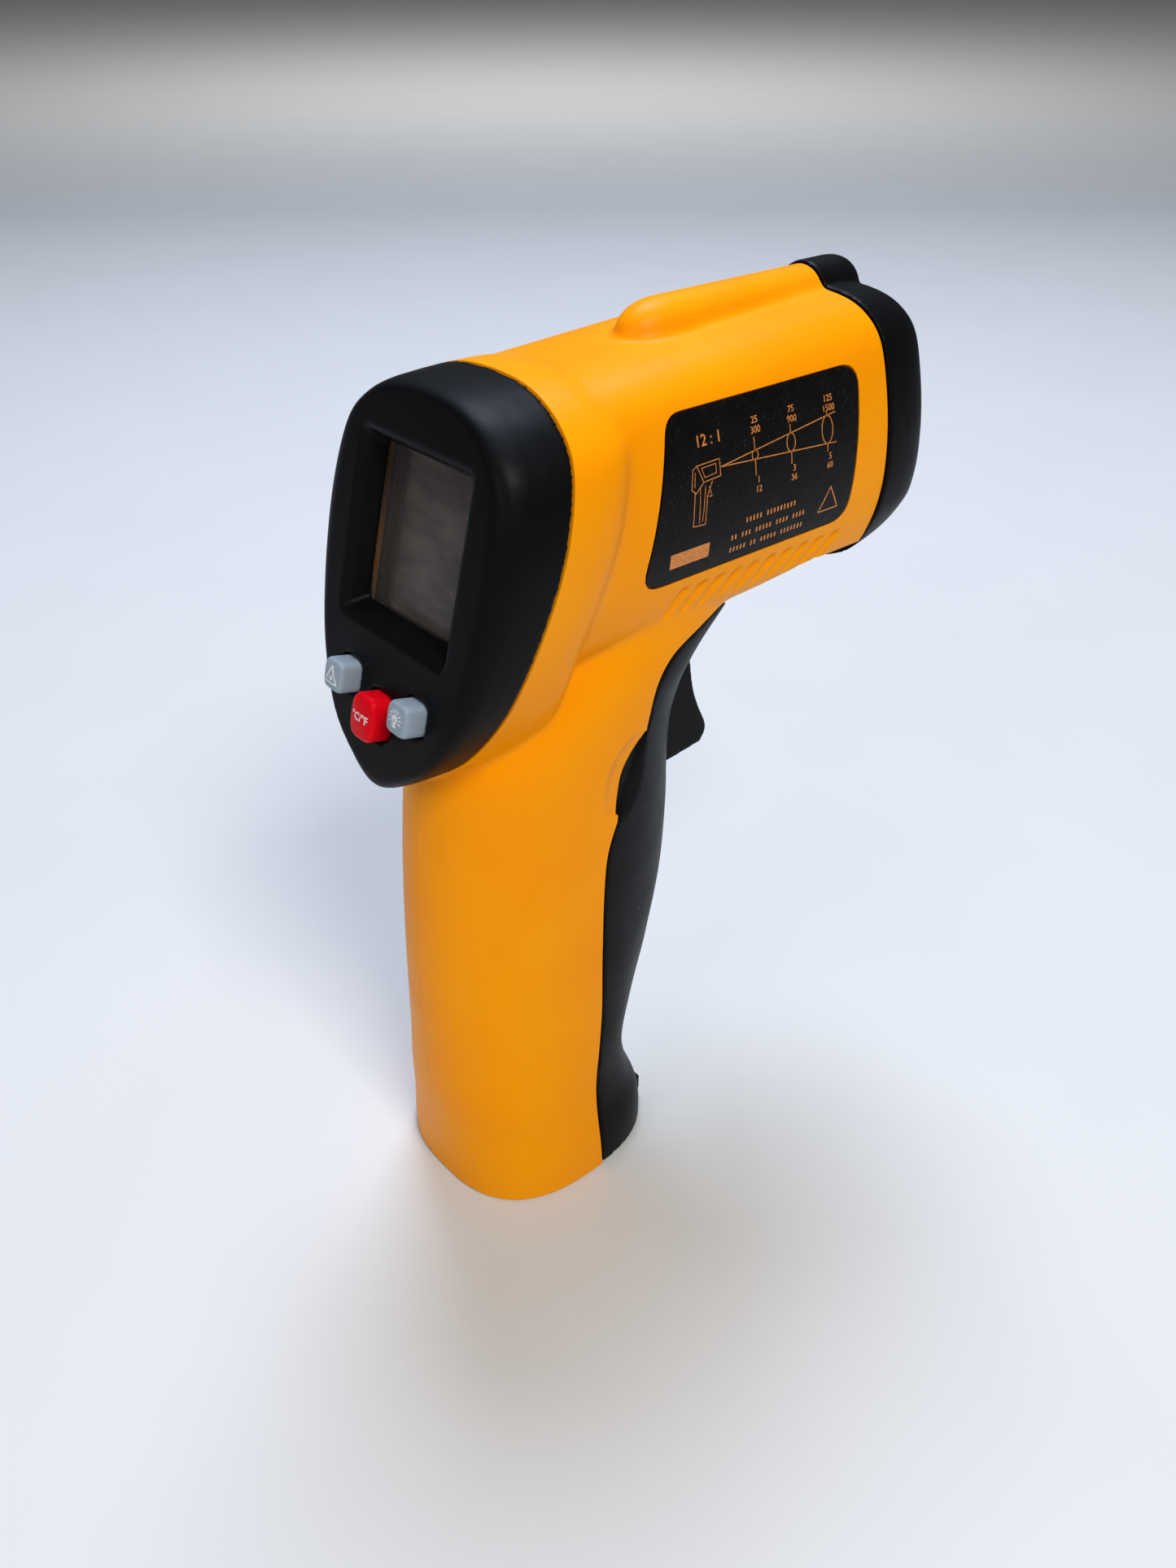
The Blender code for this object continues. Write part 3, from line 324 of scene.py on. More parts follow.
def deselect() -> None:
    """Leaves nothing selected, the CAD nodes included."""
    if bpy.context.mode != "OBJECT":
        bpy.ops.object.mode_set(mode="OBJECT")
    bpy.ops.object.select_all(action="DESELECT")


def take(obj: bpy.types.Object) -> bpy.types.Object:
    """Makes one object the selected and active one."""
    deselect()
    obj.select_set(True)
    bpy.context.view_layer.objects.active = obj
    return obj


def set_ring(obj: bpy.types.Object, ring: Ring) -> None:
    """Moves the selected vertices to a ring's points.

    Args:
        obj: the mesh object, in edit mode.
        ring: as many points as there are selected vertices, in the order these were made.
    """
    bm = bmesh.from_edit_mesh(obj.data)
    bm.verts.index_update()
    chosen = sorted((v for v in bm.verts if v.select), key=lambda v: v.index)
    for vert, point in zip(chosen, ring, strict=True):
        vert.co = place(point)
    bmesh.update_edit_mesh(obj.data)


def skin(name: str, rings: list[Ring]) -> bpy.types.Object:
    """A closed body drawn out ring by ring from a filled circle.

    Args:
        name: the object's name.
        rings: rings of equal count, in the drawing frame.

    Returns:
        The object, in the part's frame.
    """
    deselect()
    bpy.ops.mesh.primitive_circle_add(vertices=len(rings[0]), fill_type="NGON")
    obj = bpy.context.active_object
    obj.name = obj.data.name = name
    bpy.ops.object.mode_set(mode="EDIT")
    bpy.ops.mesh.select_all(action="SELECT")
    set_ring(obj, rings[0])
    for ring in rings[1:]:
        bpy.ops.mesh.extrude_region_move()
        set_ring(obj, ring)
    bpy.ops.mesh.select_all(action="SELECT")
    bpy.ops.mesh.normals_make_consistent(inside=False)
    bpy.ops.object.mode_set(mode="OBJECT")
    return obj


def plate(name: str, outline: list, low: float, high: float) -> bpy.types.Object:
    """An (x, z) outline drawn out along Y between two values."""
    return skin(name, [[Vector((p[0], y, p[1])) for p in outline] for y in (low, high)])


def block(name: str, low: tuple, high: tuple) -> bpy.types.Object:
    """A block between two corners.

    Args:
        name: the object's name.
        low: its lowest corner.
        high: its highest corner.

    Returns:
        The object.
    """
    deselect()
    low_v, high_v = Vector(low), Vector(high)
    bpy.ops.mesh.primitive_cube_add(size=1.0, location=place((low_v + high_v) / 2))
    obj = bpy.context.active_object
    obj.name = obj.data.name = name
    obj.scale = (high_v - low_v) * MM
    bpy.ops.object.transform_apply(location=True, rotation=False, scale=True)
    return obj


def rod(name: str, start: tuple, length: float, radius: float, axis: str) -> bpy.types.Object:
    """A round rod.

    Args:
        name: the object's name.
        start: the middle of one end.
        length: its length along the axis.
        radius: its radius.
        axis: X or Y.

    Returns:
        The object.
    """
    along = Vector((length, 0, 0)) if axis == "X" else Vector((0, length, 0))
    return skin(name, [circle_ring(start, radius, axis), circle_ring(Vector(start) + along, radius, axis)])


def apply(obj: bpy.types.Object, kind: str, **settings: object) -> bpy.types.Object:
    """Adds a modifier and applies it.

    Args:
        obj: the object.
        kind: the modifier's type.
        settings: the modifier's properties.

    Returns:
        The same object.
    """
    modifier = obj.modifiers.new(kind.title(), kind)
    for key, value in settings.items():
        setattr(modifier, key, value)
    take(obj)
    bpy.ops.object.modifier_apply(modifier=modifier.name)
    return obj


def combine(obj: bpy.types.Object, operation: str, *tools: bpy.types.Object) -> bpy.types.Object:
    """Applies one Boolean for each tool and removes the tools.

    Args:
        obj: the object that is worked on.
        operation: DIFFERENCE, UNION or INTERSECT.
        tools: the other solids.

    Returns:
        The same object.
    """
    for tool in tools:
        apply(obj, "BOOLEAN", operation=operation, solver="MANIFOLD", object=tool)
        mesh = tool.data
        bpy.data.objects.remove(tool)
        bpy.data.meshes.remove(mesh)
    return obj


def cut(obj: bpy.types.Object, *tools: bpy.types.Object) -> bpy.types.Object:
    """Cuts the tools away."""
    return combine(obj, "DIFFERENCE", *tools)


def join(obj: bpy.types.Object, *tools: bpy.types.Object) -> bpy.types.Object:
    """Unites the tools with the object."""
    return combine(obj, "UNION", *tools)


def keep(obj: bpy.types.Object, *tools: bpy.types.Object) -> bpy.types.Object:
    """Keeps what lies inside the tools."""
    return combine(obj, "INTERSECT", *tools)


def twin(obj: bpy.types.Object, name: str) -> bpy.types.Object:
    """A copy with its own mesh."""
    made = obj.copy()
    made.data = obj.data.copy()
    made.name = made.data.name = name
    bpy.context.scene.collection.objects.link(made)
    return made


def soften(obj: bpy.types.Object, voxel: float, rounds: int) -> bpy.types.Object:
    """Gives a moulded piece its soft edges: an even mesh of small squares, then smoothed.

    Args:
        obj: a closed mesh.
        voxel: the side of the squares in millimetres.
        rounds: how often each point moves towards the middle of its neighbours.

    Returns:
        The same object.
    """
    size = voxel * 1.0
    apply(obj, "REMESH", mode="VOXEL", voxel_size=size * MM)
    return apply(obj, "SMOOTH", factor=0.5, iterations=max(1, rounds // (1)))


def piece(obj: bpy.types.Object, name: str, finish: "Finish", body: Body, slot: str,
          *nodes: str, angle: float = 32.0) -> bpy.types.Object:
    """Names, shades and dresses a finished piece and ties it to the frame.

    Args:
        obj: the piece's object.
        name: its final name.
        finish: what it is made of.
        body: the rigid body it rides on.
        slot: the record's material slot; not used.
        nodes: the CAD nodes it stands for.
        angle: the smallest angle in degrees of an edge that stays sharp.

    Returns:
        The same object.
    """
    obj.name = obj.data.name = name
    take(obj)
    bpy.ops.object.shade_smooth_by_angle(angle=radians(angle))
    obj.data.materials.clear()
    obj.data.materials.append(finish.material())
    for polygon in obj.data.polygons:
        polygon.material_index = 0
    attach(obj, body.value)
    if nodes:
        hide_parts(*nodes)
    LOG.info("%s: %d faces on %s", name, len(obj.data.polygons), body.value)
    return obj


# ---------------------------------------------------------------------------- finishes


def linear(hex_colour: int) -> tuple[float, float, float, float]:
    """An sRGB hex colour as linear RGBA."""
    channels = [(hex_colour >> shift & 255) / 255 for shift in (16, 8, 0)]
    return (*[c / 12.92 if c <= 0.04045 else ((c + 0.055) / 1.055) ** 2.4 for c in channels], 1.0)


class Tree:
    """A material's node tree with its Principled shader."""

    def __init__(self, name: str) -> None:
        """Makes the material and keeps its shader at hand."""
        self.made = bpy.data.materials.new(name)
        self.made.use_nodes = True
        self.nodes = self.made.node_tree.nodes
        self.links = self.made.node_tree.links
        self.shader = self.nodes["Principled BSDF"]
        self.coords = self.add("ShaderNodeTexCoord").outputs["Object"]

    def add(self, kind: str, settings: dict | None = None, **inputs: object) -> bpy.types.Node:
        """Adds a node.

        Args:
            kind: the node's type name.
            settings: its properties.
            inputs: values or sockets for its inputs: by name, with spaces written as underscores, or by
                number, written as i0, i1 and so on.

        Returns:
            The node.
        """
        node = self.nodes.new(kind)
        for key, value in (settings or {}).items():
            setattr(node, key, value)
        for key, value in inputs.items():
            numbered = key[0] == "i" and key[1:].isdigit()
            self.feed(node.inputs[int(key[1:]) if numbered else key.replace("_", " ")], value)
        return node

    def feed(self, socket: bpy.types.NodeSocket, value: object) -> None:
        """Links a socket to an input, or sets the input's value.

        Args:
            socket: the input.
            value: another node's output, or a plain value.
        """
        if isinstance(value, bpy.types.NodeSocket):
            self.links.new(value, socket)
        else:
            socket.default_value = value

    def noise(self, size_mm: float, detail: float = 2.0, stretch: tuple = (1, 1, 1)) -> bpy.types.NodeSocket:
        """Cloudy noise.

        Args:
            size_mm: the size of its lumps.
            detail: how many finer layers it has.
            stretch: how much faster it changes along each axis.

        Returns:
            Its value's socket.
        """
        mapped = self.add("ShaderNodeMapping", Vector=self.coords, Scale=stretch).outputs[0]
        scale = 1 / (size_mm * MM)
        return self.add("ShaderNodeTexNoise", Vector=mapped, Scale=scale, Detail=detail).outputs[0]

    def span(self, value: bpy.types.NodeSocket, low: float, high: float,
             to_low: float, to_high: float) -> bpy.types.NodeSocket:
        """A value's range spread over another range, clamped."""
        return self.add("ShaderNodeMapRange", Value=value, From_Min=low, From_Max=high,
                        To_Min=to_low, To_Max=to_high).outputs[0]

    def mix(self, share: bpy.types.NodeSocket, first: object, second: object) -> bpy.types.NodeSocket:
        """Two colours mixed by a share."""
        return self.add("ShaderNodeMix", {"data_type": "RGBA"}, i0=share, i6=first, i7=second).outputs[2]

    def specks(self, cell_mm: float, radius_mm: float, share: float) -> bpy.types.NodeSocket:
        """A mask of small dust grains: one in some cells, 1 on a grain.

        Args:
            cell_mm: the spacing of the cells.
            radius_mm: a grain's radius.
            share: the share of the cells that hold one.

        Returns:
            The mask's socket.
        """
        cells = self.add("ShaderNodeTexVoronoi", Vector=self.coords, Scale=1 / (cell_mm * MM))
        near = self.span(cells.outputs["Distance"], radius_mm / cell_mm * 0.6, radius_mm / cell_mm, 1, 0)
        pick = self.add("ShaderNodeSeparateColor", Color=cells.outputs["Color"]).outputs[0]
        chosen = self.add("ShaderNodeMath", {"operation": "LESS_THAN"}, i0=pick, i1=share).outputs[0]
        return self.add("ShaderNodeMath", {"operation": "MULTIPLY"}, i0=near, i1=chosen).outputs[0]

    def bump(self, *layers: tuple[bpy.types.NodeSocket, float]) -> None:
        """Chains bump layers on the shader's normal.

        Args:
            layers: each layer's height socket and its depth in millimetres.
        """
        normal = None
        for height, depth in layers:
            node = self.add("ShaderNodeBump", Height=height, Distance=depth * MM, Strength=1.0)
            if normal:
                self.links.new(normal, node.inputs["Normal"])
            normal = node.outputs[0]
        self.links.new(normal, self.shader.inputs["Normal"])

    def set(self, **inputs: object) -> None:
        """Sets or links the shader's own inputs, with spaces written as underscores."""
        for key, value in inputs.items():
            self.feed(self.shader.inputs[key.replace("_", " ")], value)


@dataclass(frozen=True)
class Finish:
    """What a piece is made of. One material is made for each distinct finish."""

    name: str

    def material(self) -> bpy.types.Material:
        """The finish's material, built the first time it is asked for."""
        found = bpy.data.materials.get(self.name)
        if found:
            return found
        tree = Tree(self.name)
        self.dress(tree)
        return tree.made

    def dress(self, tree: Tree) -> None:
        """Fills the node tree."""
        raise NotImplementedError


@dataclass(frozen=True)
class MouldedPlastic(Finish):
    """Injection-moulded ABS: satin, with the fine spark-eroded grain of its mould and a little dust."""

    colour: int
    shade: int
    roughness: float = 0.4
    gloss: float = 0.5
    grain_mm: float = 0.35
    grain_depth: float = 0.006
    dust: float = 0.0

    def dress(self, tree: Tree) -> None:
        """Colour drifts a little over centimetres; roughness follows handling; grain is in the bump."""
        drift = tree.span(tree.noise(26.0, 3.0), 0.35, 0.65, 0, 1)
        colour = tree.mix(drift, linear(self.colour), linear(self.shade))
        if self.dust:
            grains = tree.specks(2.6, 0.09, self.dust)
            colour = tree.mix(grains, colour, linear(0xC9C6C0))
        handled = tree.noise(9.0, 4.0)
        rough = tree.span(handled, 0.3, 0.7, self.roughness - 0.05, self.roughness + 0.06)
        tree.set(Base_Color=colour, Roughness=rough, IOR=1.53, Specular_IOR_Level=self.gloss)
        tree.bump((tree.noise(self.grain_mm, 3.0), self.grain_depth), (tree.noise(14.0, 2.0), 0.03))


@dataclass(frozen=True)
class SilverMetal(Finish):
    """Plated or turned metal: fine marks left by the tool, and a duller tone where it has been handled."""

    colour: int
    roughness: float = 0.28

    def dress(self, tree: Tree) -> None:
        """Turning marks of about 0.2 mm run round the piece."""
        marks = tree.noise(0.2, 3.0, (1.0, 6.0, 1.0))
        tone = tree.mix(tree.span(tree.noise(3.0), 0.3, 0.7, 0, 1), linear(self.colour), linear(0x8E8E8C))
        rough = tree.span(marks, 0.3, 0.7, self.roughness - 0.06, self.roughness + 0.1)
        tree.set(Base_Color=tone, Metallic=1.0, Roughness=rough)
        tree.bump((marks, 0.004))


@dataclass(frozen=True)
class BoardLaminate(Finish):
    """Glass-fibre board under green solder mask, the weave and the tracks showing faintly through it."""

    colour: int = 0x1C5A36

    def dress(self, tree: Tree) -> None:
        """Weave of 0.5 mm threads and straight tracks 0.6 mm apart."""
        mapped = tree.add("ShaderNodeMapping", Vector=tree.coords, Rotation=(0, LEAN_ANGLE, 0)).outputs[0]
        tracks = tree.add("ShaderNodeTexBrick", {"offset": 0.4}, Vector=mapped, Scale=1 / (4.0 * MM),
                          Mortar_Size=0.03, Color1=(0, 0, 0, 1), Color2=(0, 0, 0, 1), Mortar=(1, 1, 1, 1))
        line = tree.add("ShaderNodeSeparateColor", Color=tracks.outputs["Color"]).outputs[0]
        weave = tree.noise(0.5, 1.0)
        tone = tree.mix(tree.span(weave, 0.35, 0.65, 0, 1), linear(self.colour), linear(0x174B2D))
        tree.set(Base_Color=tree.mix(line, tone, linear(0x3C8A58)), Roughness=0.32, IOR=1.55)
        tree.bump((line, 0.03), (weave, 0.01))


@dataclass(frozen=True)
class PrintedFilm(Finish):
    """Polyester label film with a fine sparkle in its dark lacquer, painted as lighter grains that stand in for
    glints.
    """

    colour: int = 0x080707

    def dress(self, tree: Tree) -> None:
        """Grains of 0.25 mm are painted lighter as glints of the sparkle; the lacquer has a slight orange peel.
        """
        # painted glints: lighter grains in the base colour stand in for the sparkle catching the light
        grains = tree.specks(0.45, 0.16, 0.16)
        tone = tree.mix(tree.span(tree.noise(5.0), 0.3, 0.7, 0, 1), linear(self.colour), linear(0x0D0C0D))
        rough = tree.span(tree.noise(2.0), 0.3, 0.7, 0.36, 0.46)
        tree.set(Base_Color=tree.mix(grains, tone, linear(0x2B2A2C)), Roughness=rough)
        tree.set(IOR=1.5, Specular_IOR_Level=0.12)
        tree.bump((tree.noise(0.3, 2.0), 0.004))


@dataclass(frozen=True)
class PrintInk(Finish):
    """Screen-printed ink: flat, a little uneven where the mesh left it thin."""

    colour: int
    thin: int
    roughness: float = 0.5

    def dress(self, tree: Tree) -> None:
        """Thin spots of about 0.3 mm."""
        spots = tree.span(tree.noise(0.35, 2.0), 0.45, 0.7, 0, 1)
        tone = tree.mix(spots, linear(self.colour), linear(self.thin))
        tree.set(Base_Color=tone, Roughness=self.roughness)
        tree.bump((tree.noise(0.2, 2.0), 0.004))


@dataclass(frozen=True)
class ClearWindow(Finish):
    """Polished acrylic over the display, with faint wipe marks and a few grains of dust."""

    tint: int = 0x6E6662

    def dress(self, tree: Tree) -> None:
        """Mostly see-through; wipe marks change only the gloss."""
        wipes = tree.noise(1.4, 4.0, (1.0, 1.0, 5.0))
        grains = tree.specks(2.2, 0.07, 0.35)
        tree.set(Base_Color=tree.mix(grains, linear(self.tint), linear(0xFFFFFF)),
                 Roughness=tree.span(wipes, 0.4, 0.75, 0.03, 0.12), IOR=1.49,
                 Alpha=tree.span(grains, 0, 1, 0.16, 0.9))
        tree.bump((tree.noise(12.0), 0.02))


@dataclass(frozen=True)
class DisplayCell(Finish):
    """A switched-off liquid crystal cell: brown-grey polariser with soft lighter bands of painted reflection
    and a dark rim.
    """

    colour: int = 0x3F3836
    reflection_tone: int = 0x655A57
    rim: int = 0x171313

    def dress(self, tree: Tree) -> None:
        """Painted reflection: lighter bands lie level, 3 to 5 mm apart; the cell's rim seal shows dark at its
        left side.
        """
        # painted reflection: level bands of a lighter tone stand in for reflections in the cell
        painted_reflection = tree.noise(7.0, 3.0, (1.0, 0.8, 2.4))
        tone = tree.mix(tree.span(painted_reflection, 0.38, 0.66, 0, 1), linear(self.colour), linear(self.reflection_tone))
        across = tree.add("ShaderNodeSeparateXYZ", Vector=tree.coords).outputs["Y"]
        side = tree.span(across, 7.9 * MM, 9.0 * MM, 0, 1)
        tree.set(Base_Color=tree.mix(side, tone, linear(self.rim)), Roughness=0.22, IOR=1.5)
        tree.bump((tree.noise(0.4), 0.002))


@dataclass(frozen=True)
class SoftPvc(Finish):
    """PVC wire insulation: slightly glossy, with faint draw lines along it."""

    colour: int

    def dress(self, tree: Tree) -> None:
        """Draw lines of about 0.15 mm."""
        lines = tree.noise(0.4, 2.0, (0.3, 3.0, 1.0))
        tone = tree.mix(tree.span(lines, 0.3, 0.7, 0, 0.25), linear(self.colour), linear(0x101010))
        tree.set(Base_Color=tone, Roughness=tree.span(lines, 0.3, 0.7, 0.36, 0.5))
        tree.bump((lines, 0.01))


YELLOW = MouldedPlastic("yellow_abs_moulded", 0xFFA000, 0xFD9800, 0.38, 0.07, 0.3, 0.003)
BLACK = MouldedPlastic("black_abs_moulded", 0x0A0B0D, 0x070809, 0.44, 0.07, 0.3, 0.004, dust=0.06)
KEY_GREY = MouldedPlastic("grey_key_moulded", 0x96A5B2, 0x8A98A5, 0.36, 0.2, 0.25, 0.004)
KEY_RED = MouldedPlastic("red_key_moulded", 0xE6061A, 0xD60414, 0.36, 0.06, 0.25, 0.004)
SWITCH = MouldedPlastic("black_switch_moulded", 0x202124, 0x17181A, 0.35)
JACKET = MouldedPlastic("battery_jacket_lacquered", 0x2B4C8C, 0x243F78, 0.25)
DIFFUSER = MouldedPlastic("white_light_guide", 0xE8E8E2, 0xDCDCD4)
STEEL = SilverMetal("zinc_plated_steel", 0xC4C6C8)
BRASS = SilverMetal("turned_brass", 0xC9A24B, 0.25)
LENS = MouldedPlastic("dark_infrared_lens", 0x2A2A31, 0x232329, 0.14, 0.6, 0.6, 0.001)
TINTED = MouldedPlastic("tinted_laser_window", 0x4A0C11, 0x3D0A0E, 0.12, 0.6, 0.6, 0.001)
BOARD = BoardLaminate("green_board_laminate")
FILM = PrintedFilm("black_label_film")
ORANGE_INK = PrintInk("orange_screen_ink", 0xD98534, 0xA5611F)
WHITE_INK = PrintInk("white_pad_ink", 0xE9ECEE, 0xC4C9CD, 0.45)
MASK_INK = PrintInk("black_window_ink", 0x14100E, 0x1C1714, 0.35)
WINDOW = ClearWindow("clear_acrylic_window")
CELL = DisplayCell("liquid_crystal_cell")
RED_PVC = SoftPvc("red_pvc_insulation", 0xB3141A)
BLACK_PVC = SoftPvc("black_pvc_insulation", 0x1A1A1C)
GREY_PVC = SoftPvc("grey_pvc_sleeve", 0x7C8084)


# ---------------------------------------------------------------------------- the grip, barrel and door


@dataclass
class MouldedCase:
    """The yellow halves and the black door, all cut from one smooth outer form."""

    voxel: float = 0.5
    fillet_rounds: int = 16
    edge_voxel: float = 0.4
    edge_rounds: int = 4
    door_voxel: float = 0.42
    seam: float = 0.02
    hump_half_width: float = 4.7
    hump_base: float = 148.6
    hump_top: float = 153.0
    hump_spans: int = 24
    hump_root: float = 3.0
    hump_rings: list = field(default_factory=lambda: [
        (43.6, 0.12), (43.9, 0.3), (44.6, 0.5), (45.6, 0.68), (47.0, 0.84), (49.0, 0.96), (51.0, 1.0),
        (96.0, 1.0)])
    collar_rings: list = field(default_factory=lambda: [
        (5.0, 0.0), (9.6, 0.0), (15.0, 0.1), (18.5, 0.6), (20.6, 1.7), (22.4, 3.6), (23.4, 5.6)])
    grooves: int = 10
    groove_pitch: float = 3.75
    groove_top: tuple = (40.6, 116.3)
    groove_foot: tuple = (38.0, 110.6)
    groove_radius: float = 1.15
    groove_steps: int = 12
    dish_radii: tuple = (6.3, 2.4, 9.4)
    dish_centre: tuple = (32.3, 18.1, 84.3)
    dish_tilt: float = 18.0
    form_foot: float = -4.0
    form_top: float = 111.0
    barrel_reach: float = 90.0
    tongue_depth: float = 1.2
    door_lift: float = 0.02
    pin_radius: float = 1.2
    knuckle_radius: float = 2.3
    knuckle_y: tuple = (5.7, 11.3)
    screw_mouth: tuple = (7.6, 2.9)
    pocket_depth: float = 0.55
    slot_half_width: float = 5.8

    def outer_form(self) -> bpy.types.Object:
        """The whole body in one: handle, barrel, collar and laser hump with soft fillets between."""
        heights = [self.form_foot, *range(0, 112, 2), self.form_top]
        form = skin("outer_form", [handle_ring(z) for z in heights])
        join(form, self.barrel(0.0), self.collar(0.0), self.hump(0.0))
        soften(form, self.voxel, self.fillet_rounds)
        for side in (-1, 1):
            cut(form, self.scoop(side), *(self.groove(side, number) for number in range(self.grooves)))
        return soften(form, self.edge_voxel, 2)

    def barrel(self, inwards: float, start: float = BARREL_START, steps: int = 12) -> bpy.types.Object:
        """The barrel's solid, drawn on past its front end."""
        spots = [start + (self.barrel_reach - start) * i / steps for i in range(steps + 1)]
        return skin("barrel", [barrel_ring(x, inwards) for x in spots])

    def collar(self, inwards: float) -> bpy.types.Object:
        """The yellow ring behind the bezel, falling away to the barrel."""
        egg = full_outline(EGG)
        rings = []
        for depth, more in self.collar_rings:
            rings.append(on_seam(inset(egg, more + inwards), depth))
        return skin("collar", rings)

    def hump(self, swell: float) -> bpy.types.Object:
        """The half-round ridge over the laser.

        Args:
            swell: how far it lies outside its own surface.

        Returns:
            Its solid, with a root inside the barrel.
        """
        rings = []
        for x, share in self.hump_rings:
            width = (self.hump_half_width + swell) * share
            height = (self.hump_top + swell - self.hump_base) * share
            turns = [pi * i / self.hump_spans for i in range(self.hump_spans + 1)]
            arc = [(width * cos(turn), self.hump_base + height * sin(turn)) for turn in turns]
            arc += [(-width, self.hump_base - self.hump_root), (width, self.hump_base - self.hump_root)]
            rings.append([Vector((x, y, z)) for y, z in arc])
        return skin("hump", rings)

    def door_space(self, shift: float) -> bpy.types.Object:
        """All that lies in front of the door line, moved forward by a shift."""
        line = smooth_line([(x + shift, z) for x, z in DOOR_LINE], 6, closed=False)
        front, low = 90.0, -8.0
        outline = [(p.x, p.y) for p in line] + [(front, self.form_top), (front, low), (line[0].x, low)]
        return plate("door_space", outline, -SIDE_REACH, SIDE_REACH)

    def bezel_space(self) -> bpy.types.Object:
        """All that lies behind the collar's rear edge."""
        low, high, rear = 80.0, 160.0, -20.0
        edge = [(face_x(z) + COLLAR_START + SEAM_LEAN * (z - SEAM_LEVEL_Z), z) for z in (low, high)]
        return plate("bezel_space", [(rear, low), *edge, (rear, high)], -SIDE_REACH, SIDE_REACH)

    def hollow(self) -> list[bpy.types.Object]:
        """The space inside the shells."""
        heights = [WALL, *range(4, 103, 3), 103.0]
        return [skin("hollow", [handle_ring(z, WALL, INNER_SIDES) for z in heights]),
                self.collar(WALL + 0.2),
                self.barrel(WALL, BARREL_START + 6),
                block("neck", (15, -11, 98), (33, 11, 112)),
                block("throat", (42.6, -5.6, 100), (57.4, 5.6, 112))]

    def notch(self, side: int, shift: float) -> bpy.types.Object:
        """The part of the side wall that the thumb scoop bares.

        Args:
            side: +1 for the left side, -1 for the right.
            shift: how far its outline lies inside its own edge.

        Returns:
            Its solid.
        """
        low, high, front = NOTCH[0][1] + shift, NOTCH[-1][1] - shift, 40.0
        curve = [(p.x + shift, p.y) for p in smooth_line(NOTCH, 8, closed=False)]
        curve[0] = (curve[0][0], low)
        curve[-1] = (curve[-1][0], high)
        return plate("notch", [*curve, (front, high), (front, low)], *sorted((side * 12.0, side * 30.0)))

    def scoop(self, side: int) -> bpy.types.Object:
        """A shallow dish for the thumb, behind the door's edge: deep at its upper lip, fading below."""
        deselect()
        bpy.ops.mesh.primitive_uv_sphere_add(segments=48, ring_count=24, radius=1.0)
        dish = bpy.context.active_object
        x, y, z = self.dish_centre
        dish.scale = Vector(self.dish_radii) * MM
        dish.rotation_euler = (0, radians(self.dish_tilt), 0)
        dish.location = place(Vector((x, side * y, z)))
        bpy.ops.object.transform_apply(location=True, rotation=True, scale=True)
        return dish

    def groove(self, side: int, number: int) -> bpy.types.Object:
        """The cutter of one slanted grip groove, which follows the barrel's lower corner.

        Args:
            side: +1 for the left side, -1 for the right.
            number: which groove, from the rear.

        Returns:
            Its solid, narrower towards the foot and round at both ends.
        """
        shift = Vector((self.groove_pitch * number, 0))
        top, foot = Vector(self.groove_top) + shift, Vector(self.groove_foot) + shift
        rings = []
        for i in range(self.groove_steps + 1):
            t = i / self.groove_steps
            spot = top.lerp(foot, t)
            swell = self.groove_radius * (1 - (2 * t - 1) ** 6) ** 0.5 * (1.0 - 0.35 * t) + 0.05
            y = side * (surface_y(spot.x, spot.y) + 0.1)
            rings.append(circle_ring((spot.x, y, spot.y), swell, "Z", 16))
        return skin("groove", rings)

    def half(self, form: bpy.types.Object, side: int) -> bpy.types.Object:
        """One yellow half.

        Args:
            form: the outer form.
            side: +1 for the left half, which has the screws' mouths, -1 for the right.

        Returns:
            The shell.
        """
        shell = twin(form, "shell")
        cut(shell, self.door_space(-GAP / 2), self.bezel_space(),
            block("front", (BARREL_END, -SIDE_REACH, 90), (FRONT_REACH, SIDE_REACH, HIGH_REACH)),
            block("under", (-SIDE_REACH, -SIDE_REACH, LOW_REACH), (FRONT_REACH, SIDE_REACH, 0)),
            *self.hollow())
        low, high = sorted((-side * SIDE_REACH, side * self.seam))
        cut(shell, block("other_half", (-SIDE_REACH, low, LOW_REACH), (FRONT_REACH, high, HIGH_REACH)))
        pocket = plate("pocket", smooth_corners(LABEL, LABEL_CORNER, GAP), *sorted((side * 10, side * 30)))
        cut(shell, cut(pocket, self.barrel(self.pocket_depth)), self.notch(side, 0.0),
            rod("laser_way", (58, 0, LASER_Z), 30, LASER_WAY_RADIUS, "X"),
            rod("pin", (DOOR_HINGE[0], -20, DOOR_HINGE[1]), 40, self.pin_radius + 0.1, "Y"))
        start, radius = self.screw_mouth
        if side > 0:
            cut(shell, *(rod("screw_mouth", (x, start, z), SIDE_REACH, radius, "Y") for x, z in SCREWS))
        return shell

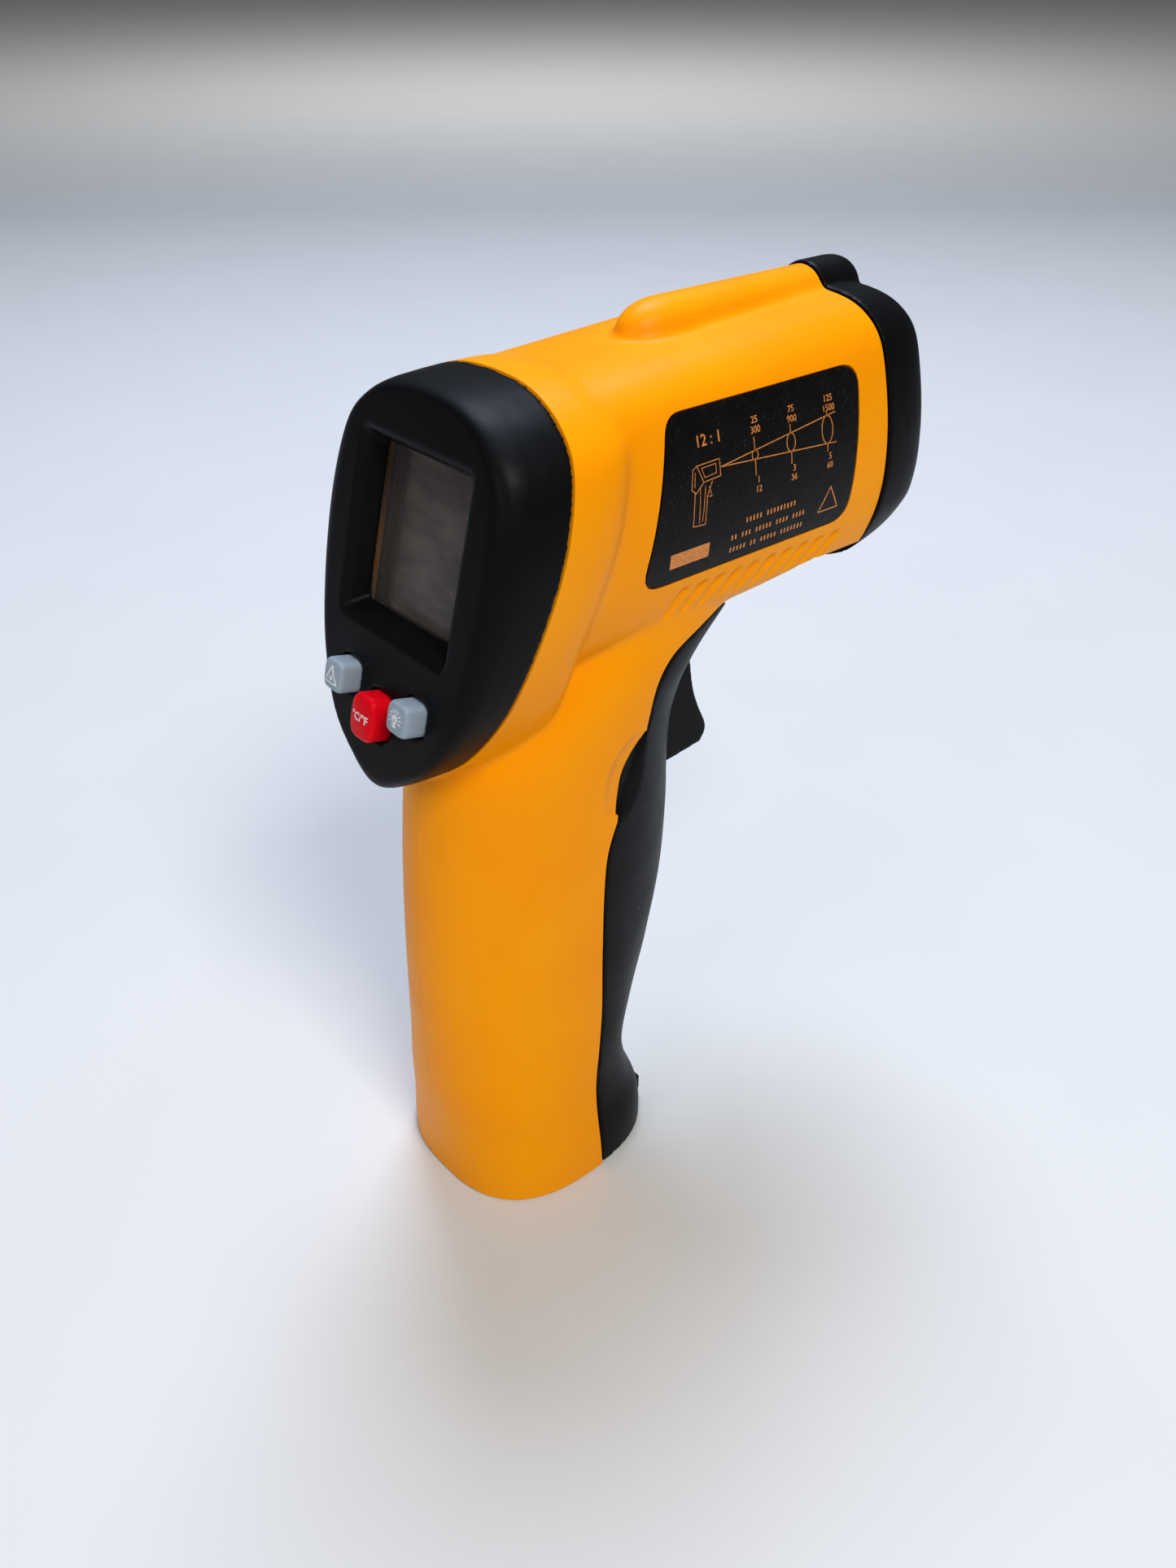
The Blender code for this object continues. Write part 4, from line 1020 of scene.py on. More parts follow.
    def door(self, form: bpy.types.Object) -> bpy.types.Object:
        """The black door.

        Args:
            form: the outer form.

        Returns:
            The grip's front, open at the top round the trigger, with its hinge's knuckles.
        """
        door = twin(form, "door")
        keep(door, self.door_space(GAP / 2))
        top_corner = (FRONT_REACH, SIDE_REACH, self.door_lift)
        under = block("under", (-SIDE_REACH, -SIDE_REACH, LOW_REACH), top_corner)
        cut(door, self.barrel(-GAP), under)
        for side in (-1, 1):
            rings = [handle_ring(z, self.tongue_depth, INNER_SIDES) for z in range(70, 96, 5)]
            join(door, keep(skin("tongue", rings), self.notch(side, GAP)))
        heights = [-1.0, *range(1, 109, 3), self.form_top]
        cut(door, skin("inside", [handle_ring(z, WALL, INNER_SIDES) for z in heights]),
            block("slot", (38, -self.slot_half_width, 71.5), (80, self.slot_half_width, 120)))
        hinge_x, hinge_z = DOOR_HINGE
        for side in (-1, 1):
            low, high = sorted(side * y for y in self.knuckle_y)
            join(door, rod("knuckle", (hinge_x, low, hinge_z), high - low, self.knuckle_radius, "Y"),
                 block("web", (hinge_x, low, 1.0), (hinge_x + 6.2, high, 4.8)))
        cut(door, rod("pin_way", (hinge_x, -12, hinge_z), 24, self.pin_radius, "Y"))
        return soften(door, self.door_voxel, self.edge_rounds)

    def build(self) -> None:
        """Builds the two halves and the door."""
        form = self.outer_form()
        for side, name in ((1, "left"), (-1, "right")):
            shell = self.half(form, side)
            piece(shell, f"shell_{name}", YELLOW, Body.HOUSING, "yellow_shell", f"housing_{name}")
        piece(self.door(form), "grip_door", BLACK, Body.DOOR, "black_shell", "battery_door")
        bpy.data.objects.remove(form)


def surface_y(x: float, z: float) -> float:
    """The barrel's half width at a place in side view.

    Args:
        x: the place's x.
        z: its height.

    Returns:
        The half width, 0 above and below the barrel.
    """
    ring = barrel_ring(x)
    best = 0.0
    for a, b in zip(ring, ring[1:] + ring[:1]):
        if a.y > 0 and min(a.z, b.z) <= z <= max(a.z, b.z) and a.z != b.z:
            best = max(best, a.y + (b.y - a.y) * (z - a.z) / (b.z - a.z))
    return best


def smooth_corners(corners: list, radius: float, swell: float = 0.0) -> list[tuple[float, float]]:
    """A polygon with its corners rounded, after it has grown on every side.

    Args:
        corners: (x, z) of each corner, in clockwise order.
        radius: the corners' radius.
        swell: how far the sides move outwards.

    Returns:
        The rounded outline.
    """
    count, spans = len(corners), 6
    middle = sum((Vector(c) for c in corners), Vector((0, 0))) / count
    grown = [Vector(c) + swell * Vector((1 if c[0] > middle.x else -1, 1 if c[1] > middle.y else -1))
             for c in corners]
    outline = []
    for i, corner in enumerate(grown):
        before = (grown[i - 1] - corner).normalized()
        after = (grown[(i + 1) % count] - corner).normalized()
        half = before.angle(after) / 2
        reach = (radius + swell) / abs(sin(half)) * cos(half)
        start, end = corner + before * reach, corner + after * reach
        for k in range(spans + 1):
            t = k / spans
            point = start.lerp(corner, t).lerp(corner.lerp(end, t), t)
            outline.append((point.x, point.y))
    return outline


# ---------------------------------------------------------------------------- rear bezel, display and keys


def box_in_face(node: str) -> tuple[Vector, Vector]:
    """A CAD node's box in the rear face's own axes, in millimetres.

    Args:
        node: the node's name.

    Returns:
        The box's lowest and highest corner.
    """
    back = face_frame().inverted()
    points = [back @ Vector((v.co.x / MM + CENTRE_X, v.co.y / MM, v.co.z / MM))
              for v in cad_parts[node].data.vertices]
    low = Vector([min(p[i] for p in points) for i in range(3)])
    high = Vector([max(p[i] for p in points) for i in range(3)])
    return low, high


def corners_of(low: Vector, high: Vector, swell: float) -> list[tuple[float, float]]:
    """The (y, height) corners of a box's face, grown by a distance."""
    return [(low[1] - swell, low[2] - swell), (high[1] + swell, low[2] - swell),
            (high[1] + swell, high[2] + swell), (low[1] - swell, high[2] + swell)]


@dataclass
class RearBezel:
    """The black frame round the display, with a sloping recess and three key openings."""

    rings: list = field(default_factory=lambda: [
        (0.0, 0.0), (0.06, 0.12), (0.35, 0.34), (0.8, 0.5), (1.3, 0.62), (2.2, 0.74), (3.2, 0.82),
        (6.0, 0.93), (BEZEL_DEPTH, 1.0)])
    inner_rings: list = field(default_factory=lambda: [(2.07, 0.7), (4.0, 0.86), (BEZEL_DEPTH + 1, 1.0)])
    mouth: tuple = (12.7, -6.2, 20.4)
    floor: tuple = (11.3, -4.2, 19.0)
    recess: float = 3.9
    rim: float = 1.2
    mouth_rings: list = field(default_factory=lambda: [
        (-1.0, -0.1, 1.1), (-0.05, -0.02, 0.75), (0.35, 0.06, 0.28), (0.9, 0.2, 0.05), (4.1, 1.05, 0.0)])
    border_width: float = 1.3
    border_depth: float = 0.02
    border_thickness: float = 0.15
    voxel: float = 0.33

    def outline(self, share: float, depth: float, inwards: float = 0.0) -> Ring:
        """A ring of the bezel.

        Args:
            share: 0 for the face's edge, 1 for the full outline.
            depth: how far behind the face it lies.
            inwards: how far inside the surface it lies.

        Returns:
            The ring.
        """
        mixed = [a.lerp(b, share) for a, b in zip(full_outline(FACE_EDGE), full_outline(EGG))]
        return on_seam(inset(mixed, inwards), depth)

    def window_ring(self, depth: float, share: float, swell: float) -> Ring:
        """The recess's section.

        Args:
            depth: how deep it lies.
            share: 0 for the mouth's size, 1 for the floor's.
            swell: how much wider it is.

        Returns:
            The ring.
        """
        y, low, high = (a + (b - a) * share for a, b in zip(self.mouth, self.floor))
        corners = smooth_corners([(-y, high), (y, high), (y, low), (-y, low)], 0.9, swell)
        return [on_face(depth, p[0], p[1]) for p in corners]

    def build(self) -> None:
        """Builds the bezel."""
        bezel = skin("bezel", [self.outline(share, depth) for depth, share in self.rings])
        cut(bezel, skin("hollow", [self.outline(share, depth, WALL) for depth, share in self.inner_rings]))
        y, low, high = self.mouth
        corners = corners_of(Vector((0, -y, low)), Vector((0, y, high)), self.rim)
        join(bezel, skin("backing", [[on_face(depth, *p) for p in corners] for depth in (1.0, self.recess)]))
        cut(bezel, skin("window", [self.window_ring(*ring) for ring in self.mouth_rings]))
        for cap in KEYS:
            cut(bezel, skin("key_way", [cap.ring(depth, GAP) for depth in (-4.0, 6.0)]))
        soften(bezel, self.voxel, 4)
        piece(bezel, "bezel", BLACK, Body.HOUSING, "black_shell", "rear_bezel")
        self.mask()

    def mask(self) -> None:
        """The black border printed behind the window."""
        low, high = box_in_face("display_window")
        near = high[0] + self.border_depth
        far = near + self.border_thickness

        def slab(name: str, swell: float, depths: tuple[float, float]) -> bpy.types.Object:
            """A flat block of the window's size, grown by a distance, between two depths."""
            corners = corners_of(low, high, swell)
            return skin(name, [[on_face(depth, *p) for p in corners] for depth in depths])

        hole = slab("hole", -self.border_width, (near - self.border_thickness, far + self.border_thickness))
        border = cut(slab("border", 0.05, (near, far)), hole)
        piece(border, "window_border", MASK_INK, Body.HOUSING, "black_shell")


@dataclass
class KeyCap:
    """A moulded key cap that stands out of the bezel, with its printed sign."""

    name: str
    body: Body
    finish: Finish
    slot: str
    y: float
    v: float
    half_width: float
    half_height: float
    proud: float
    power: float
    shoulder: float = 0.9
    shoulder_steps: int = 9
    flange: float = 0.7
    stem_radius: float = 1.6

    def ring(self, depth: float, swell: float = 0.0, share: float = 1.0) -> Ring:
        """The key's section.

        Args:
            depth: how far below the face it lies.
            swell: how much wider it is on each side.
            share: its size before that, as a share of the cap's.

        Returns:
            The ring.
        """
        half_width, half_height = self.half_width * share + swell, self.half_height * share + swell
        return self.around(superellipse(half_width, half_height, self.power, 56), depth)

    def around(self, points: list[tuple[float, float]], depth: float) -> Ring:
        """Points about the key's middle, laid at a depth below the face."""
        return [on_face(depth, self.y + y, self.v + v) for y, v in points]

    def build(self) -> bpy.types.Object:
        """Builds the cap: straight sides, a rounded shoulder, a crowned front, a flange and a stem."""
        crown = [(3.2, 1.0), (1.2, 1.0), (0.0, 0.99)]
        for i in range(1, self.shoulder_steps + 1):
            a = pi / 2 * i / self.shoulder_steps
            crown.append((-self.proud + self.shoulder * (1 - sin(a)), 0.99 - 0.2 * (1 - cos(a))))
        crown += [(-self.proud - rise, share) for rise, share in ((0.1, 0.62), (0.18, 0.4), (0.22, 0.15))]
        cap = skin("cap", [self.ring(depth, 0.0, share) for depth, share in crown])
        round_ring = superellipse(self.stem_radius, self.stem_radius, 2.0, 24)
        stem = skin("stem", [self.around(round_ring, depth) for depth in (3.0, 5.4)])
        flange = skin("flange", [self.ring(depth, self.flange) for depth in (2.4, 3.4)])
        join(cap, stem, flange)
        return piece(cap, f"cap_{self.name}", self.finish, self.body, self.slot, f"key_{self.name}")


KEYS = [
    KeyCap("laser", Body.LASER_KEY, KEY_GREY, "key_grey", 8.4, -15.2, 2.4, 2.5, 3.15, 4.4),
    KeyCap("unit", Body.UNIT_KEY, KEY_RED, "key_red", 0.0, -18.5, 2.9, 3.6, 3.1, 3.4),
    KeyCap("backlight", Body.BACKLIGHT_KEY, KEY_GREY, "key_grey", -8.4, -15.2, 2.45, 2.5, 3.15, 4.4),
]


# ---------------------------------------------------------------------------- printed marks


class Pen:
    """Draws flat marks as thin closed strips in a plane, and lays them on a surface."""

    def __init__(self, line: float, thickness: float = 0.05, pitch: float = 0.7) -> None:
        """Starts with nothing drawn.

        Args:
            line: the width of a line.
            thickness: how thick the ink is.
            pitch: the length of the pieces that a line is made of, so that it can follow a curve.
        """
        self.pitch = pitch
        self.line = line
        self.thickness = thickness
        self.meshes: list[bpy.types.Object] = []

    def stroke(self, points: list, closed: bool = False, width: float | None = None) -> None:
        """Draws a line of even width.

        Args:
            points: the points that it passes through.
            closed: whether it returns to the first.
            width: its width, the pen's own if left out.
        """
        line = [Vector(p) for p in points] + ([Vector(points[0])] if closed else [])
        half = (width or self.line) / 2
        for a, b in zip(line, line[1:]):
            along = b - a
            if along.length < 1e-6:
                continue
            count = max(1, round(along.length / self.pitch))
            unit = along.normalized()
            a2, b2 = a - unit * half * 0.5, b + unit * half * 0.5
            across = Vector((-unit.y, unit.x)) * half
            spots = [a2.lerp(b2, i / count) for i in range(count + 1)]
            self.strip([s + across for s in spots], [s - across for s in spots])

    def strip(self, upper: list[Vector], lower: list[Vector]) -> None:
        """Draws a ladder of quads between two lines, as a closed thin solid.

        Args:
            upper: the points of one line.
            lower: as many points of the other.
        """
        bm = bmesh.new()
        rows = [[bm.verts.new((p.x, 0, p.y)) for p in row] for row in (upper, lower)]
        for i in range(len(upper) - 1):
            bm.faces.new((rows[0][i], rows[0][i + 1], rows[1][i + 1], rows[1][i]))
        grown = bmesh.ops.extrude_face_region(bm, geom=bm.faces[:])
        verts = [g for g in grown["geom"] if isinstance(g, bmesh.types.BMVert)]
        bmesh.ops.translate(bm, verts=verts, vec=(0, self.thickness, 0))
        bmesh.ops.recalc_face_normals(bm, faces=bm.faces)
        self.keep(bm)

    def keep(self, bm: bmesh.types.BMesh) -> None:
        """Stores a drawn mesh."""
        mesh = bpy.data.meshes.new("mark")
        bm.to_mesh(mesh)
        bm.free()
        made = bpy.data.objects.new("mark", mesh)
        bpy.context.scene.collection.objects.link(made)
        self.meshes.append(made)

    def ellipse(self, centre: tuple, half_x: float, half_z: float, width: float | None = None) -> None:
        """Draws an ellipse's outline.

        Args:
            centre: its middle.
            half_x: half its length.
            half_z: half its height.
            width: the line's width, the pen's own if left out.
        """
        spans = 28
        turns = [2 * pi * i / spans for i in range(spans)]
        points = [(centre[0] + half_x * cos(turn), centre[1] + half_z * sin(turn)) for turn in turns]
        self.stroke(points, closed=True, width=width)

    def fill(self, low: tuple, high: tuple) -> None:
        """Draws a filled block.

        Args:
            low: its lowest corner.
            high: its highest corner.
        """
        cell = 0.8
        rows = max(2, round((high[1] - low[1]) / cell))
        across = max(1, round((high[0] - low[0]) / cell))
        spots = [low[0] + (high[0] - low[0]) * k / across for k in range(across + 1)]
        for i in range(rows):
            z0, z1 = (low[1] + (high[1] - low[1]) * k / rows for k in (i, i + 1))
            self.strip([Vector((x, z1)) for x in spots], [Vector((x, z0 - 0.001)) for x in spots])

    def text(self, words: str, at: tuple, height: float) -> None:
        """Draws plain numerals or letters.

        Args:
            words: what is written.
            at: its middle.
            height: the height of a numeral.
        """
        curve = bpy.data.curves.new("numerals", "FONT")
        curve.body = words
        curve.size = height * 1.35
        curve.align_x, curve.align_y = "CENTER", "CENTER"
        curve.extrude = self.thickness / 2
        curve.offset = height * 0.012
        curve.resolution_u = 3
        made = bpy.data.objects.new("numerals", curve)
        bpy.context.scene.collection.objects.link(made)
        take(made)
        bpy.ops.object.convert(target="MESH")
        made = bpy.context.active_object
        upright = Matrix.Rotation(radians(90), 4, "X")
        made.data.transform(Matrix.Translation((at[0], self.thickness / 2, at[1])) @ upright)
        self.meshes.append(made)

    def finish(self, name: str) -> bpy.types.Object:
        """Joins the marks.

        Args:
            name: the object's name.

        Returns:
            One flat object, in millimetres: x, 0 to the ink's thickness, z.
        """
        take(self.meshes[0])
        for mark in self.meshes[1:]:
            mark.select_set(True)
        if len(self.meshes) > 1:
            bpy.ops.object.join()
        made = bpy.context.active_object
        made.name = made.data.name = name
        bpy.ops.object.mode_set(mode="EDIT")
        bpy.ops.mesh.select_all(action="SELECT")
        bpy.ops.mesh.normals_make_consistent(inside=False)
        bpy.ops.object.mode_set(mode="OBJECT")
        return made


def key_sign(cap: KeyCap, cap_object: bpy.types.Object) -> None:
    """Prints the white sign on a key's front, laid on its crown.

    Args:
        cap: the key.
        cap_object: its built cap.
    """
    pen = Pen(0.26, 0.04)
    if cap.name == "laser":
        pen.stroke([(-1.45, -1.15), (1.45, -1.15), (0, 1.45)], closed=True)
        pen.ellipse((0, -0.3), 0.24, 0.24, 0.4)
    elif cap.name == "unit":
        pen.text("°C/°F", (0, 0.0), 1.3)
    else:
        pen.ellipse((0, 0.1), 0.5, 0.54, 0.24)
        pen.ellipse((0, 0.1), 0.24, 0.26, 0.34)
        pen.stroke([(-0.24, -0.85), (0.24, -0.85)], width=0.6)
        for i in range(9):
            a = pi * (-0.12 + 1.24 * i / 8)
            pen.stroke([(reach * cos(a), 0.1 + reach * sin(a)) for reach in (0.95, 1.4)], width=0.18)
    sign = pen.finish(f"sign_{cap.name}")
    tree = BVHTree.FromObject(cap_object, bpy.context.evaluated_depsgraph_get())
    inwards = (place(on_face(1, 0, 0)) - place(on_face(0, 0, 0))).normalized()
    ink_height, root, far = 0.045, 0.02, -12.0
    for vert in sign.data.vertices:
        y, v = cap.y - vert.co.x, cap.v + vert.co.z
        hit = tree.ray_cast(place(on_face(far, y, v)), inwards)[0]
        spot = hit or place(on_face(-cap.proud, y, v))
        outer = vert.co.y < root
        vert.co = spot - inwards * (ink_height - vert.co.y) * MM if outer else spot + inwards * root * MM
    piece(sign, f"sign_{cap.name}", WHITE_INK, cap.body, cap.slot)


@dataclass
class SideLabel:
    """The black film on one side of the barrel with its chart: a cone of sight, ticks and numerals."""

    side: int
    film_proud: float = 0.03
    film_depth: float = 0.4
    ink_height: float = 0.03
    eye: tuple = (45.9, 133.6)
    far_x: float = 70.6
    far_z: tuple = (136.4, 131.9)
    marks: list = field(default_factory=lambda: [
        (52.9, ("25", "300"), ("1", "12")), (60.6, ("75", "900"), ("3", "36")),
        (68.7, ("125", "1500"), ("5", "60"))])
    row_pitch: float = 1.4
    numeral: float = 1.02
    text_rows: list = field(default_factory=lambda: [
        (124.4, 51.2, (5, 9)), (122.25, 48.3, (2, 3, 5, 4, 4)), (120.2, 48.3, (5, 2, 5, 7))])
    letter_pitch: float = 0.74
    letter_half_height: float = 0.32

    def film(self) -> bpy.types.Object:
        """The film: a curved sheet that follows the barrel."""
        case = MouldedCase()
        outline = smooth_corners(LABEL, LABEL_CORNER)
        sheet = plate("film", outline, *sorted((self.side * 10, self.side * 30)))
        keep(sheet, case.barrel(-self.film_proud))
        return cut(sheet, case.barrel(self.film_depth))

    def chart(self) -> bpy.types.Object:
        """The printed chart, flat."""
        pen = Pen(0.15)
        for end_z in self.far_z:
            pen.stroke([self.eye, (self.far_x, end_z)])
        for x, upper, lower in self.marks:
            share = (x - self.eye[0]) / (self.far_x - self.eye[0])
            top, foot = (self.eye[1] + (end_z - self.eye[1]) * share for end_z in self.far_z)
            middle, half = (top + foot) / 2, (top - foot) / 2
            pen.ellipse((x, middle), 0.35 + half * 0.42, half, 0.16)
            pen.stroke([(x, top), (x, 136.3 + (x - self.marks[0][0]) * 0.03)])
            pen.stroke([(x, foot), (x, 130.8)])
            for row, word in enumerate(reversed(upper)):
                pen.text(word, (x + 0.5, 137.2 + self.row_pitch * row), self.numeral)
            for row, word in enumerate(lower):
                pen.text(word, (x + 0.6, 130.0 - self.row_pitch * row), self.numeral)
        self.instrument(pen)
        pen.text("12 : 1", (44.0, 137.8), 1.7)
        pen.fill((35.8, 120.6), (43.6, 122.9))
        self.rows(pen)
        pen.stroke([(67.5, 121.2), (72.0, 121.2), (69.8, 125.0)], closed=True, width=0.2)
        return pen.finish("chart")

    def rows(self, pen: Pen) -> None:
        """Draws rows of small blocks under the chart, as long as words."""
        for z, start, words in self.text_rows:
            x = start
            for letters in words:
                for _ in range(letters):
                    half = self.letter_half_height
                    pen.stroke([(x, z - half), (x, z + half)], width=0.3)
                    x += self.letter_pitch
                x += self.letter_pitch + 0.01

    def instrument(self, pen: Pen) -> None:
        """Draws a small instrument that looks along the cone."""
        pen.stroke([(41.2, 134.7), (45.7, 134.8), (45.7, 132.4), (42.3, 132.2)], closed=True, width=0.13)
        pen.stroke([(42.1, 134.2), (44.9, 134.3), (44.9, 133.0), (42.6, 132.8)], closed=True, width=0.1)
        for width, points in (
                (0.12, [(41.2, 134.7), (40.4, 134.3), (39.9, 131.6), (40.7, 130.9), (42.3, 132.2)]),
                (0.1, [(40.8, 133.8), (40.5, 131.8)]),
                (0.13, [(40.5, 131.2), (40.0, 126.2), (42.4, 126.0), (42.9, 130.1), (44.0, 132.0)]),
                (0.1, [(41.6, 131.8), (41.2, 126.4)]),
                (0.1, [(42.6, 131.6), (42.1, 128.0), (41.8, 126.6)]),
                (0.11, [(43.3, 131.4), (43.8, 129.9), (43.2, 130.0)])):
            pen.stroke(points, width=width)

    def build(self) -> None:
        """Builds the film and lays the chart on it."""
        name = "left" if self.side > 0 else "right"
        piece(self.film(), f"film_{name}", FILM, Body.HOUSING, "label", f"label_{name}")
        chart = self.chart()
        middle = sum(c[0] for c in LABEL) / 4
        for vert in chart.data.vertices:
            x = vert.co.x if self.side < 0 else 2 * middle - vert.co.x
            height = self.ink_height if vert.co.y < 0.02 else -self.ink_height
            spread = surface_y(x, vert.co.z) + self.film_proud + height
            vert.co = place(Vector((x, self.side * spread, vert.co.z)))
        bm = bmesh.new()
        bm.from_mesh(chart.data)
        bmesh.ops.recalc_face_normals(bm, faces=bm.faces)
        bm.to_mesh(chart.data)
        bm.free()
        piece(chart, f"chart_{name}", ORANGE_INK, Body.HOUSING, "label")


# ---------------------------------------------------------------------------- front and trigger


@dataclass
class NoseRing:
    """The black ring at the front, with the infrared aperture and the laser's port."""

    start: float = 83.3
    proud: float = 0.45
    rings: list = field(default_factory=lambda: [
        (83.3, 0.0), (86.0, 0.05), (88.5, 0.2), (90.5, 0.5), (92.0, 0.9), (93.0, 1.4), (93.8, 2.1),
        (94.2, 2.7), (94.4, 3.4)])
    hump_rings: list = field(default_factory=lambda: [
        (83.3, 1.0), (90.0, 1.0), (91.2, 0.97), (92.2, 0.9), (93.0, 0.78), (93.6, 0.6)])
    aperture: list = field(default_factory=lambda: [
        (87.8, 8.4), (90.8, 8.4), (92.6, 9.2), (94.0, 10.2), (94.6, 11.2)])
    port_radius: float = 2.0
    chin_z: float = 118.0
    chin_rise: tuple = (0.8, 2.4)
    chin_taper: tuple = (0.03, 0.05)

    def section(self, x: float, more: float) -> Ring:
        """The ring's outline, its chin drawn in towards the front.

        Args:
            x: where it is cut.
            more: how far inside the surface it lies.

        Returns:
            The ring.
        """
        forward = max(x - self.start, 0.0) / (self.rings[-1][0] - self.start)
        ring = []
        for p in barrel_ring(BARREL_END, more - self.proud):
            below = max((self.chin_z - p.z) / (self.chin_z - BARREL[-1][1]), 0.0)
            y = p.y * (1 - below * (self.chin_taper[0] + self.chin_taper[1] * forward))
            ring.append(Vector((x, y, p.z + below * (self.chin_rise[0] + self.chin_rise[1] * forward))))
        return ring

    def build(self) -> None:
        """Builds the ring."""
        nose = skin("nose", [self.section(x, more) for x, more in self.rings])
        join(nose, MouldedCase(hump_rings=self.hump_rings).hump(self.proud))
        cut(nose, skin("hollow", [self.section(x, WALL + self.proud) for x in (82.0, 89.0)]),
            skin("aperture", [circle_ring((x, 0, OPTICS_Z), radius) for x, radius in self.aperture]),
            rod("laser_way", (80, 0, LASER_Z), 12, LASER_WAY_RADIUS, "X"),
            rod("laser_port", (91, 0, LASER_Z), 6, self.port_radius, "X"))
        soften(nose, 0.36, 5)
        piece(nose, "nose", BLACK, Body.HOUSING, "black_shell", "nose_ring")


@dataclass
class TriggerBlade:
    """The black trigger: a rounded blade on its pin, with slots beside its arm."""

    half_width: float = 5.0
    rim: float = 1.0
    slot_y: tuple = (3.8, 7.0)
    slot_foot: float = 103.6
    pin_way_radius: float = 1.5

    def build(self) -> None:
        """Builds the blade."""
        outline = [(p.x, p.y) for p in smooth_line(TRIGGER, 4, closed=True)]
        blade = plate("blade", outline, -self.half_width, self.half_width)
        bpy.ops.object.mode_set(mode="EDIT")
        bm = bmesh.from_edit_mesh(blade.data)
        for edge in bm.edges:
            edge.select = abs(edge.verts[0].co.y - edge.verts[1].co.y) < 1e-6
        bmesh.update_edit_mesh(blade.data)
        bpy.ops.mesh.bevel(offset=self.rim * MM, segments=5, affect="EDGES")
        bpy.ops.object.mode_set(mode="OBJECT")
        for side in (-1, 1):
            low, high = sorted(side * y for y in self.slot_y)
            cut(blade, block("slot", (40, low, self.slot_foot), (60, high, 120)))
        pivot_x, pivot_z = TRIGGER_PIVOT
        cut(blade, rod("pin_way", (pivot_x, -10, pivot_z), 20, self.pin_way_radius, "Y"))
        soften(blade, 0.3, 4)
        piece(blade, "trigger_blade", BLACK, Body.TRIGGER, "black_shell", "trigger")


# ---------------------------------------------------------------------------- CAD nodes that stay


STAYING = {
    "display_window": WINDOW, "lcd_panel": CELL, "lcd_backlight": DIFFUSER, "main_board": BOARD,
    "switch_laser": SWITCH, "switch_unit": SWITCH, "switch_backlight": SWITCH, "trigger_switch": SWITCH,
    "optics_tube": BLACK, "ir_lens": LENS, "thermopile": STEEL, "sensor_board": BOARD, "sensor_cable": GREY_PVC,
    "laser_module": BRASS, "laser_window": TINTED, "laser_lead_red": RED_PVC, "laser_lead_black": BLACK_PVC,
    "trigger_pin": STEEL, "trigger_spring": STEEL, "door_pin": STEEL, "battery": JACKET,
    "battery_snap": BLACK_PVC, "battery_lead_red": RED_PVC, "battery_lead_black": BLACK_PVC,
    "screw_1": STEEL, "screw_2": STEEL, "screw_3": STEEL, "screw_4": STEEL,
}


def dress_nodes() -> None:
    """Gives the inner CAD nodes their finishes."""
    for name, finish in STAYING.items():
        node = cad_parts[name]
        for slot in node.material_slots:
            slot.material = finish.material()


# ---------------------------------------------------------------------------- stage


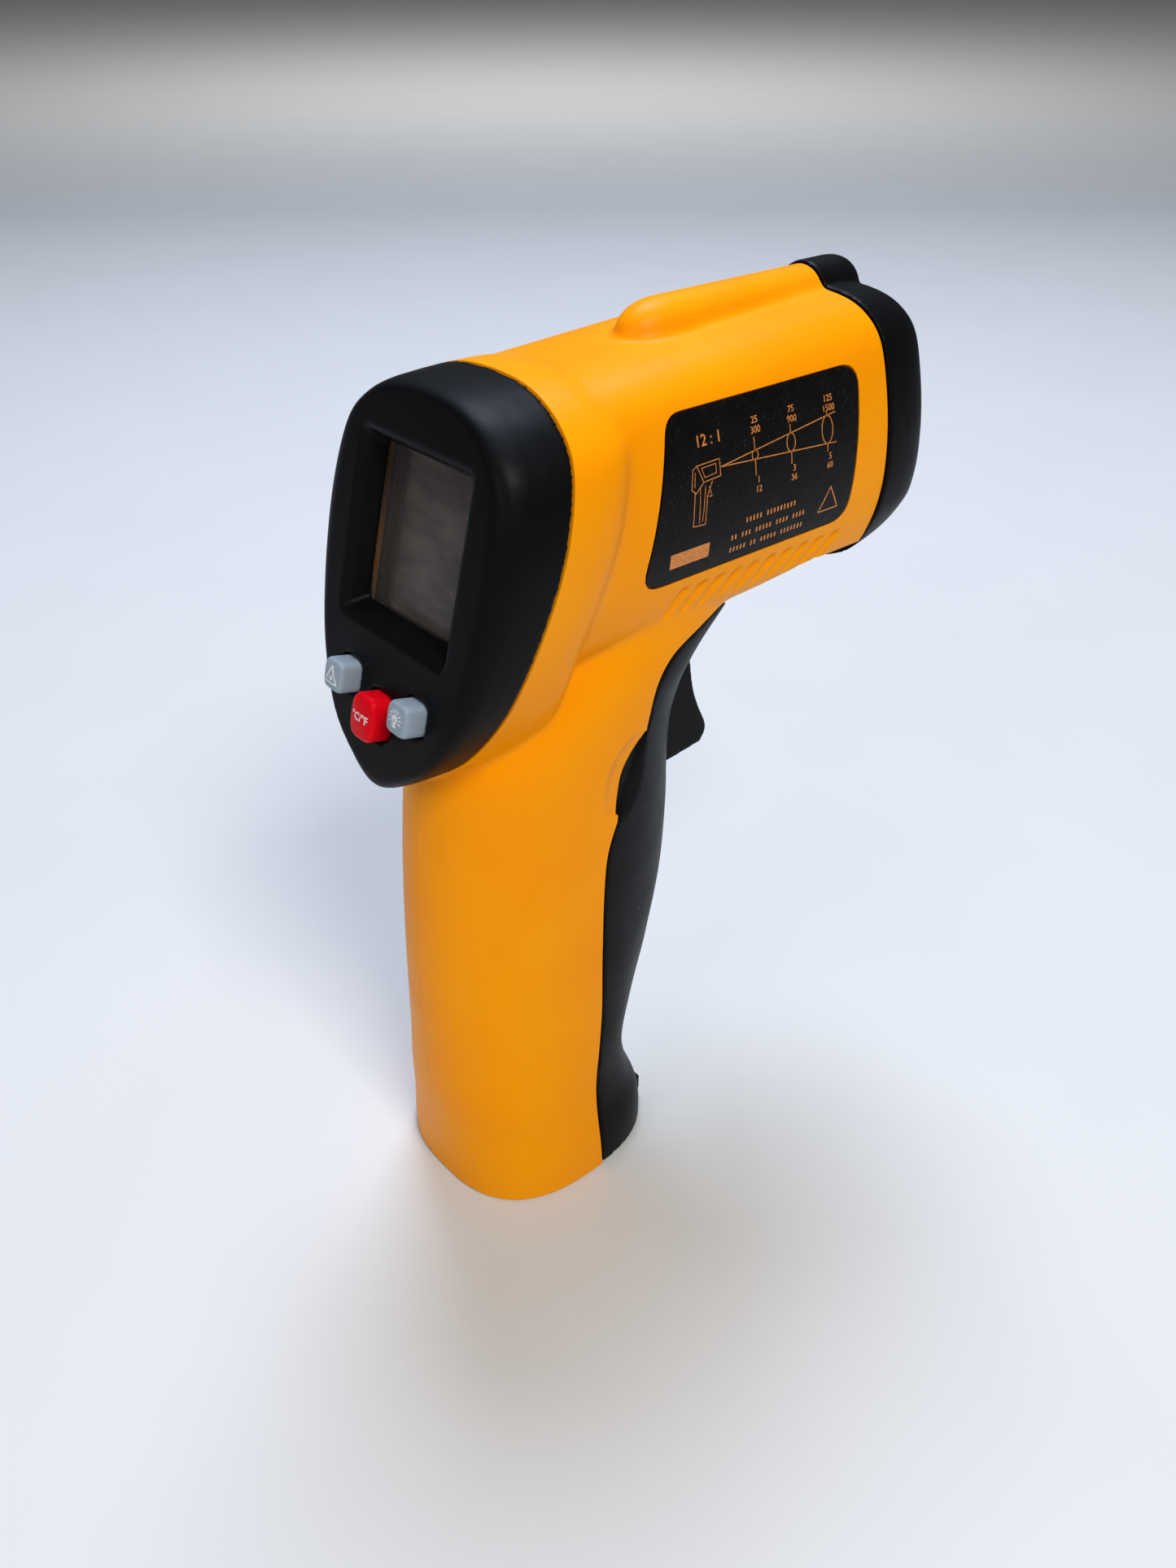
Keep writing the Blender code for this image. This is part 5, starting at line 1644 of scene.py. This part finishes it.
@dataclass
class Studio:
    """A pale floor, soft lights and the camera."""

    camera_at: tuple = (-0.128826, -0.142552, 0.199390)
    right: tuple = (0.75813, -0.65210, 0.0)
    up: tuple = (0.36559, 0.42504, 0.82806)
    lens: float = 29.48

    def floor(self) -> None:
        """A plain pale sheet under everything."""
        deselect()
        bpy.ops.mesh.primitive_plane_add(size=12.0, location=(0, 0, -0.0004))
        sheet = bpy.context.active_object
        sheet.name = "studio_floor"
        tree = Tree("matt_studio_paper")
        tone = tree.mix(tree.noise(60.0, 2.0), linear(0xDADAD8), linear(0xD5D5D3))
        tree.set(Base_Color=tone, Roughness=0.9)
        sheet.data.materials.append(tree.made)

    def lamp(self, name: str, at: tuple, aim: tuple, size: float, power: float, colour: int) -> None:
        """Hangs a soft square lamp.

        Args:
            name: its name.
            at: where it hangs.
            aim: the point that it looks at.
            size: the side of its square.
            power: its power in watts.
            colour: its light's sRGB hex colour.
        """
        light = bpy.data.lights.new(name, "AREA")
        light.shape = "SQUARE"
        light.size = size
        light.energy = power
        light.color = linear(colour)[:3]
        lamp = bpy.data.objects.new(name, light)
        lamp.location = at
        lamp.rotation_euler = (Vector(aim) - Vector(at)).to_track_quat("-Z", "Y").to_euler()
        bpy.context.scene.collection.objects.link(lamp)

    def build(self) -> None:
        """Sets the stage."""
        self.floor()
        self.lights()
        self.camera()

    def lights(self) -> None:
        """A warm key light from the right, cool light from above, and an even pale room."""
        self.lamp("key_light", (-0.2, -0.72, 0.98), (0, 0, 0.08), 0.36, 8.6, 0xFFFDF8)
        self.lamp("sky_light", (0.32, 0.36, 1.1), (0, 0, 0.1), 0.5, 13.0, 0xD9E6FF)
        self.lamp("rear_fill", (-0.9, -0.2, 0.6), (0, 0, 0.1), 0.5, 1.6, 0xFFFFFF)
        self.lamp("backdrop", (0.9, 1.1, 1.2), (2.8, 3.4, 0), 0.8, 18.0, 0xFFFFFF)
        bpy.context.scene.view_settings.view_transform = "Standard"
        world = bpy.data.worlds.new("pale_room")
        world.use_nodes = True
        back = world.node_tree.nodes["Background"]
        back.inputs["Color"].default_value = linear(0xF3F6FA)
        back.inputs["Strength"].default_value = 0.12
        bpy.context.scene.world = world

    def camera(self) -> None:
        """Places the camera."""
        camera = bpy.data.cameras.new("view")
        camera.lens = self.lens
        camera.sensor_width = 36.0
        camera.sensor_fit = "AUTO"
        camera.clip_start = 0.01
        made = bpy.data.objects.new("view", camera)
        right, up = Vector(self.right), Vector(self.up)
        turn = Matrix((right, up, right.cross(up))).transposed().to_4x4()
        made.matrix_world = Matrix.Translation(self.camera_at) @ turn
        bpy.context.scene.collection.objects.link(made)
        bpy.context.scene.camera = made


def main() -> None:
    """Builds the looks in order."""
    logging.basicConfig(level=logging.INFO, format="%(message)s")
    Studio().build()
    dress_nodes()
    MouldedCase().build()
    RearBezel().build()
    for cap in KEYS:
        key_sign(cap, cap.build())
    NoseRing().build()
    TriggerBlade().build()
    for side in (-1, 1):
        SideLabel(side).build()


if __name__ == "__main__":
    main()
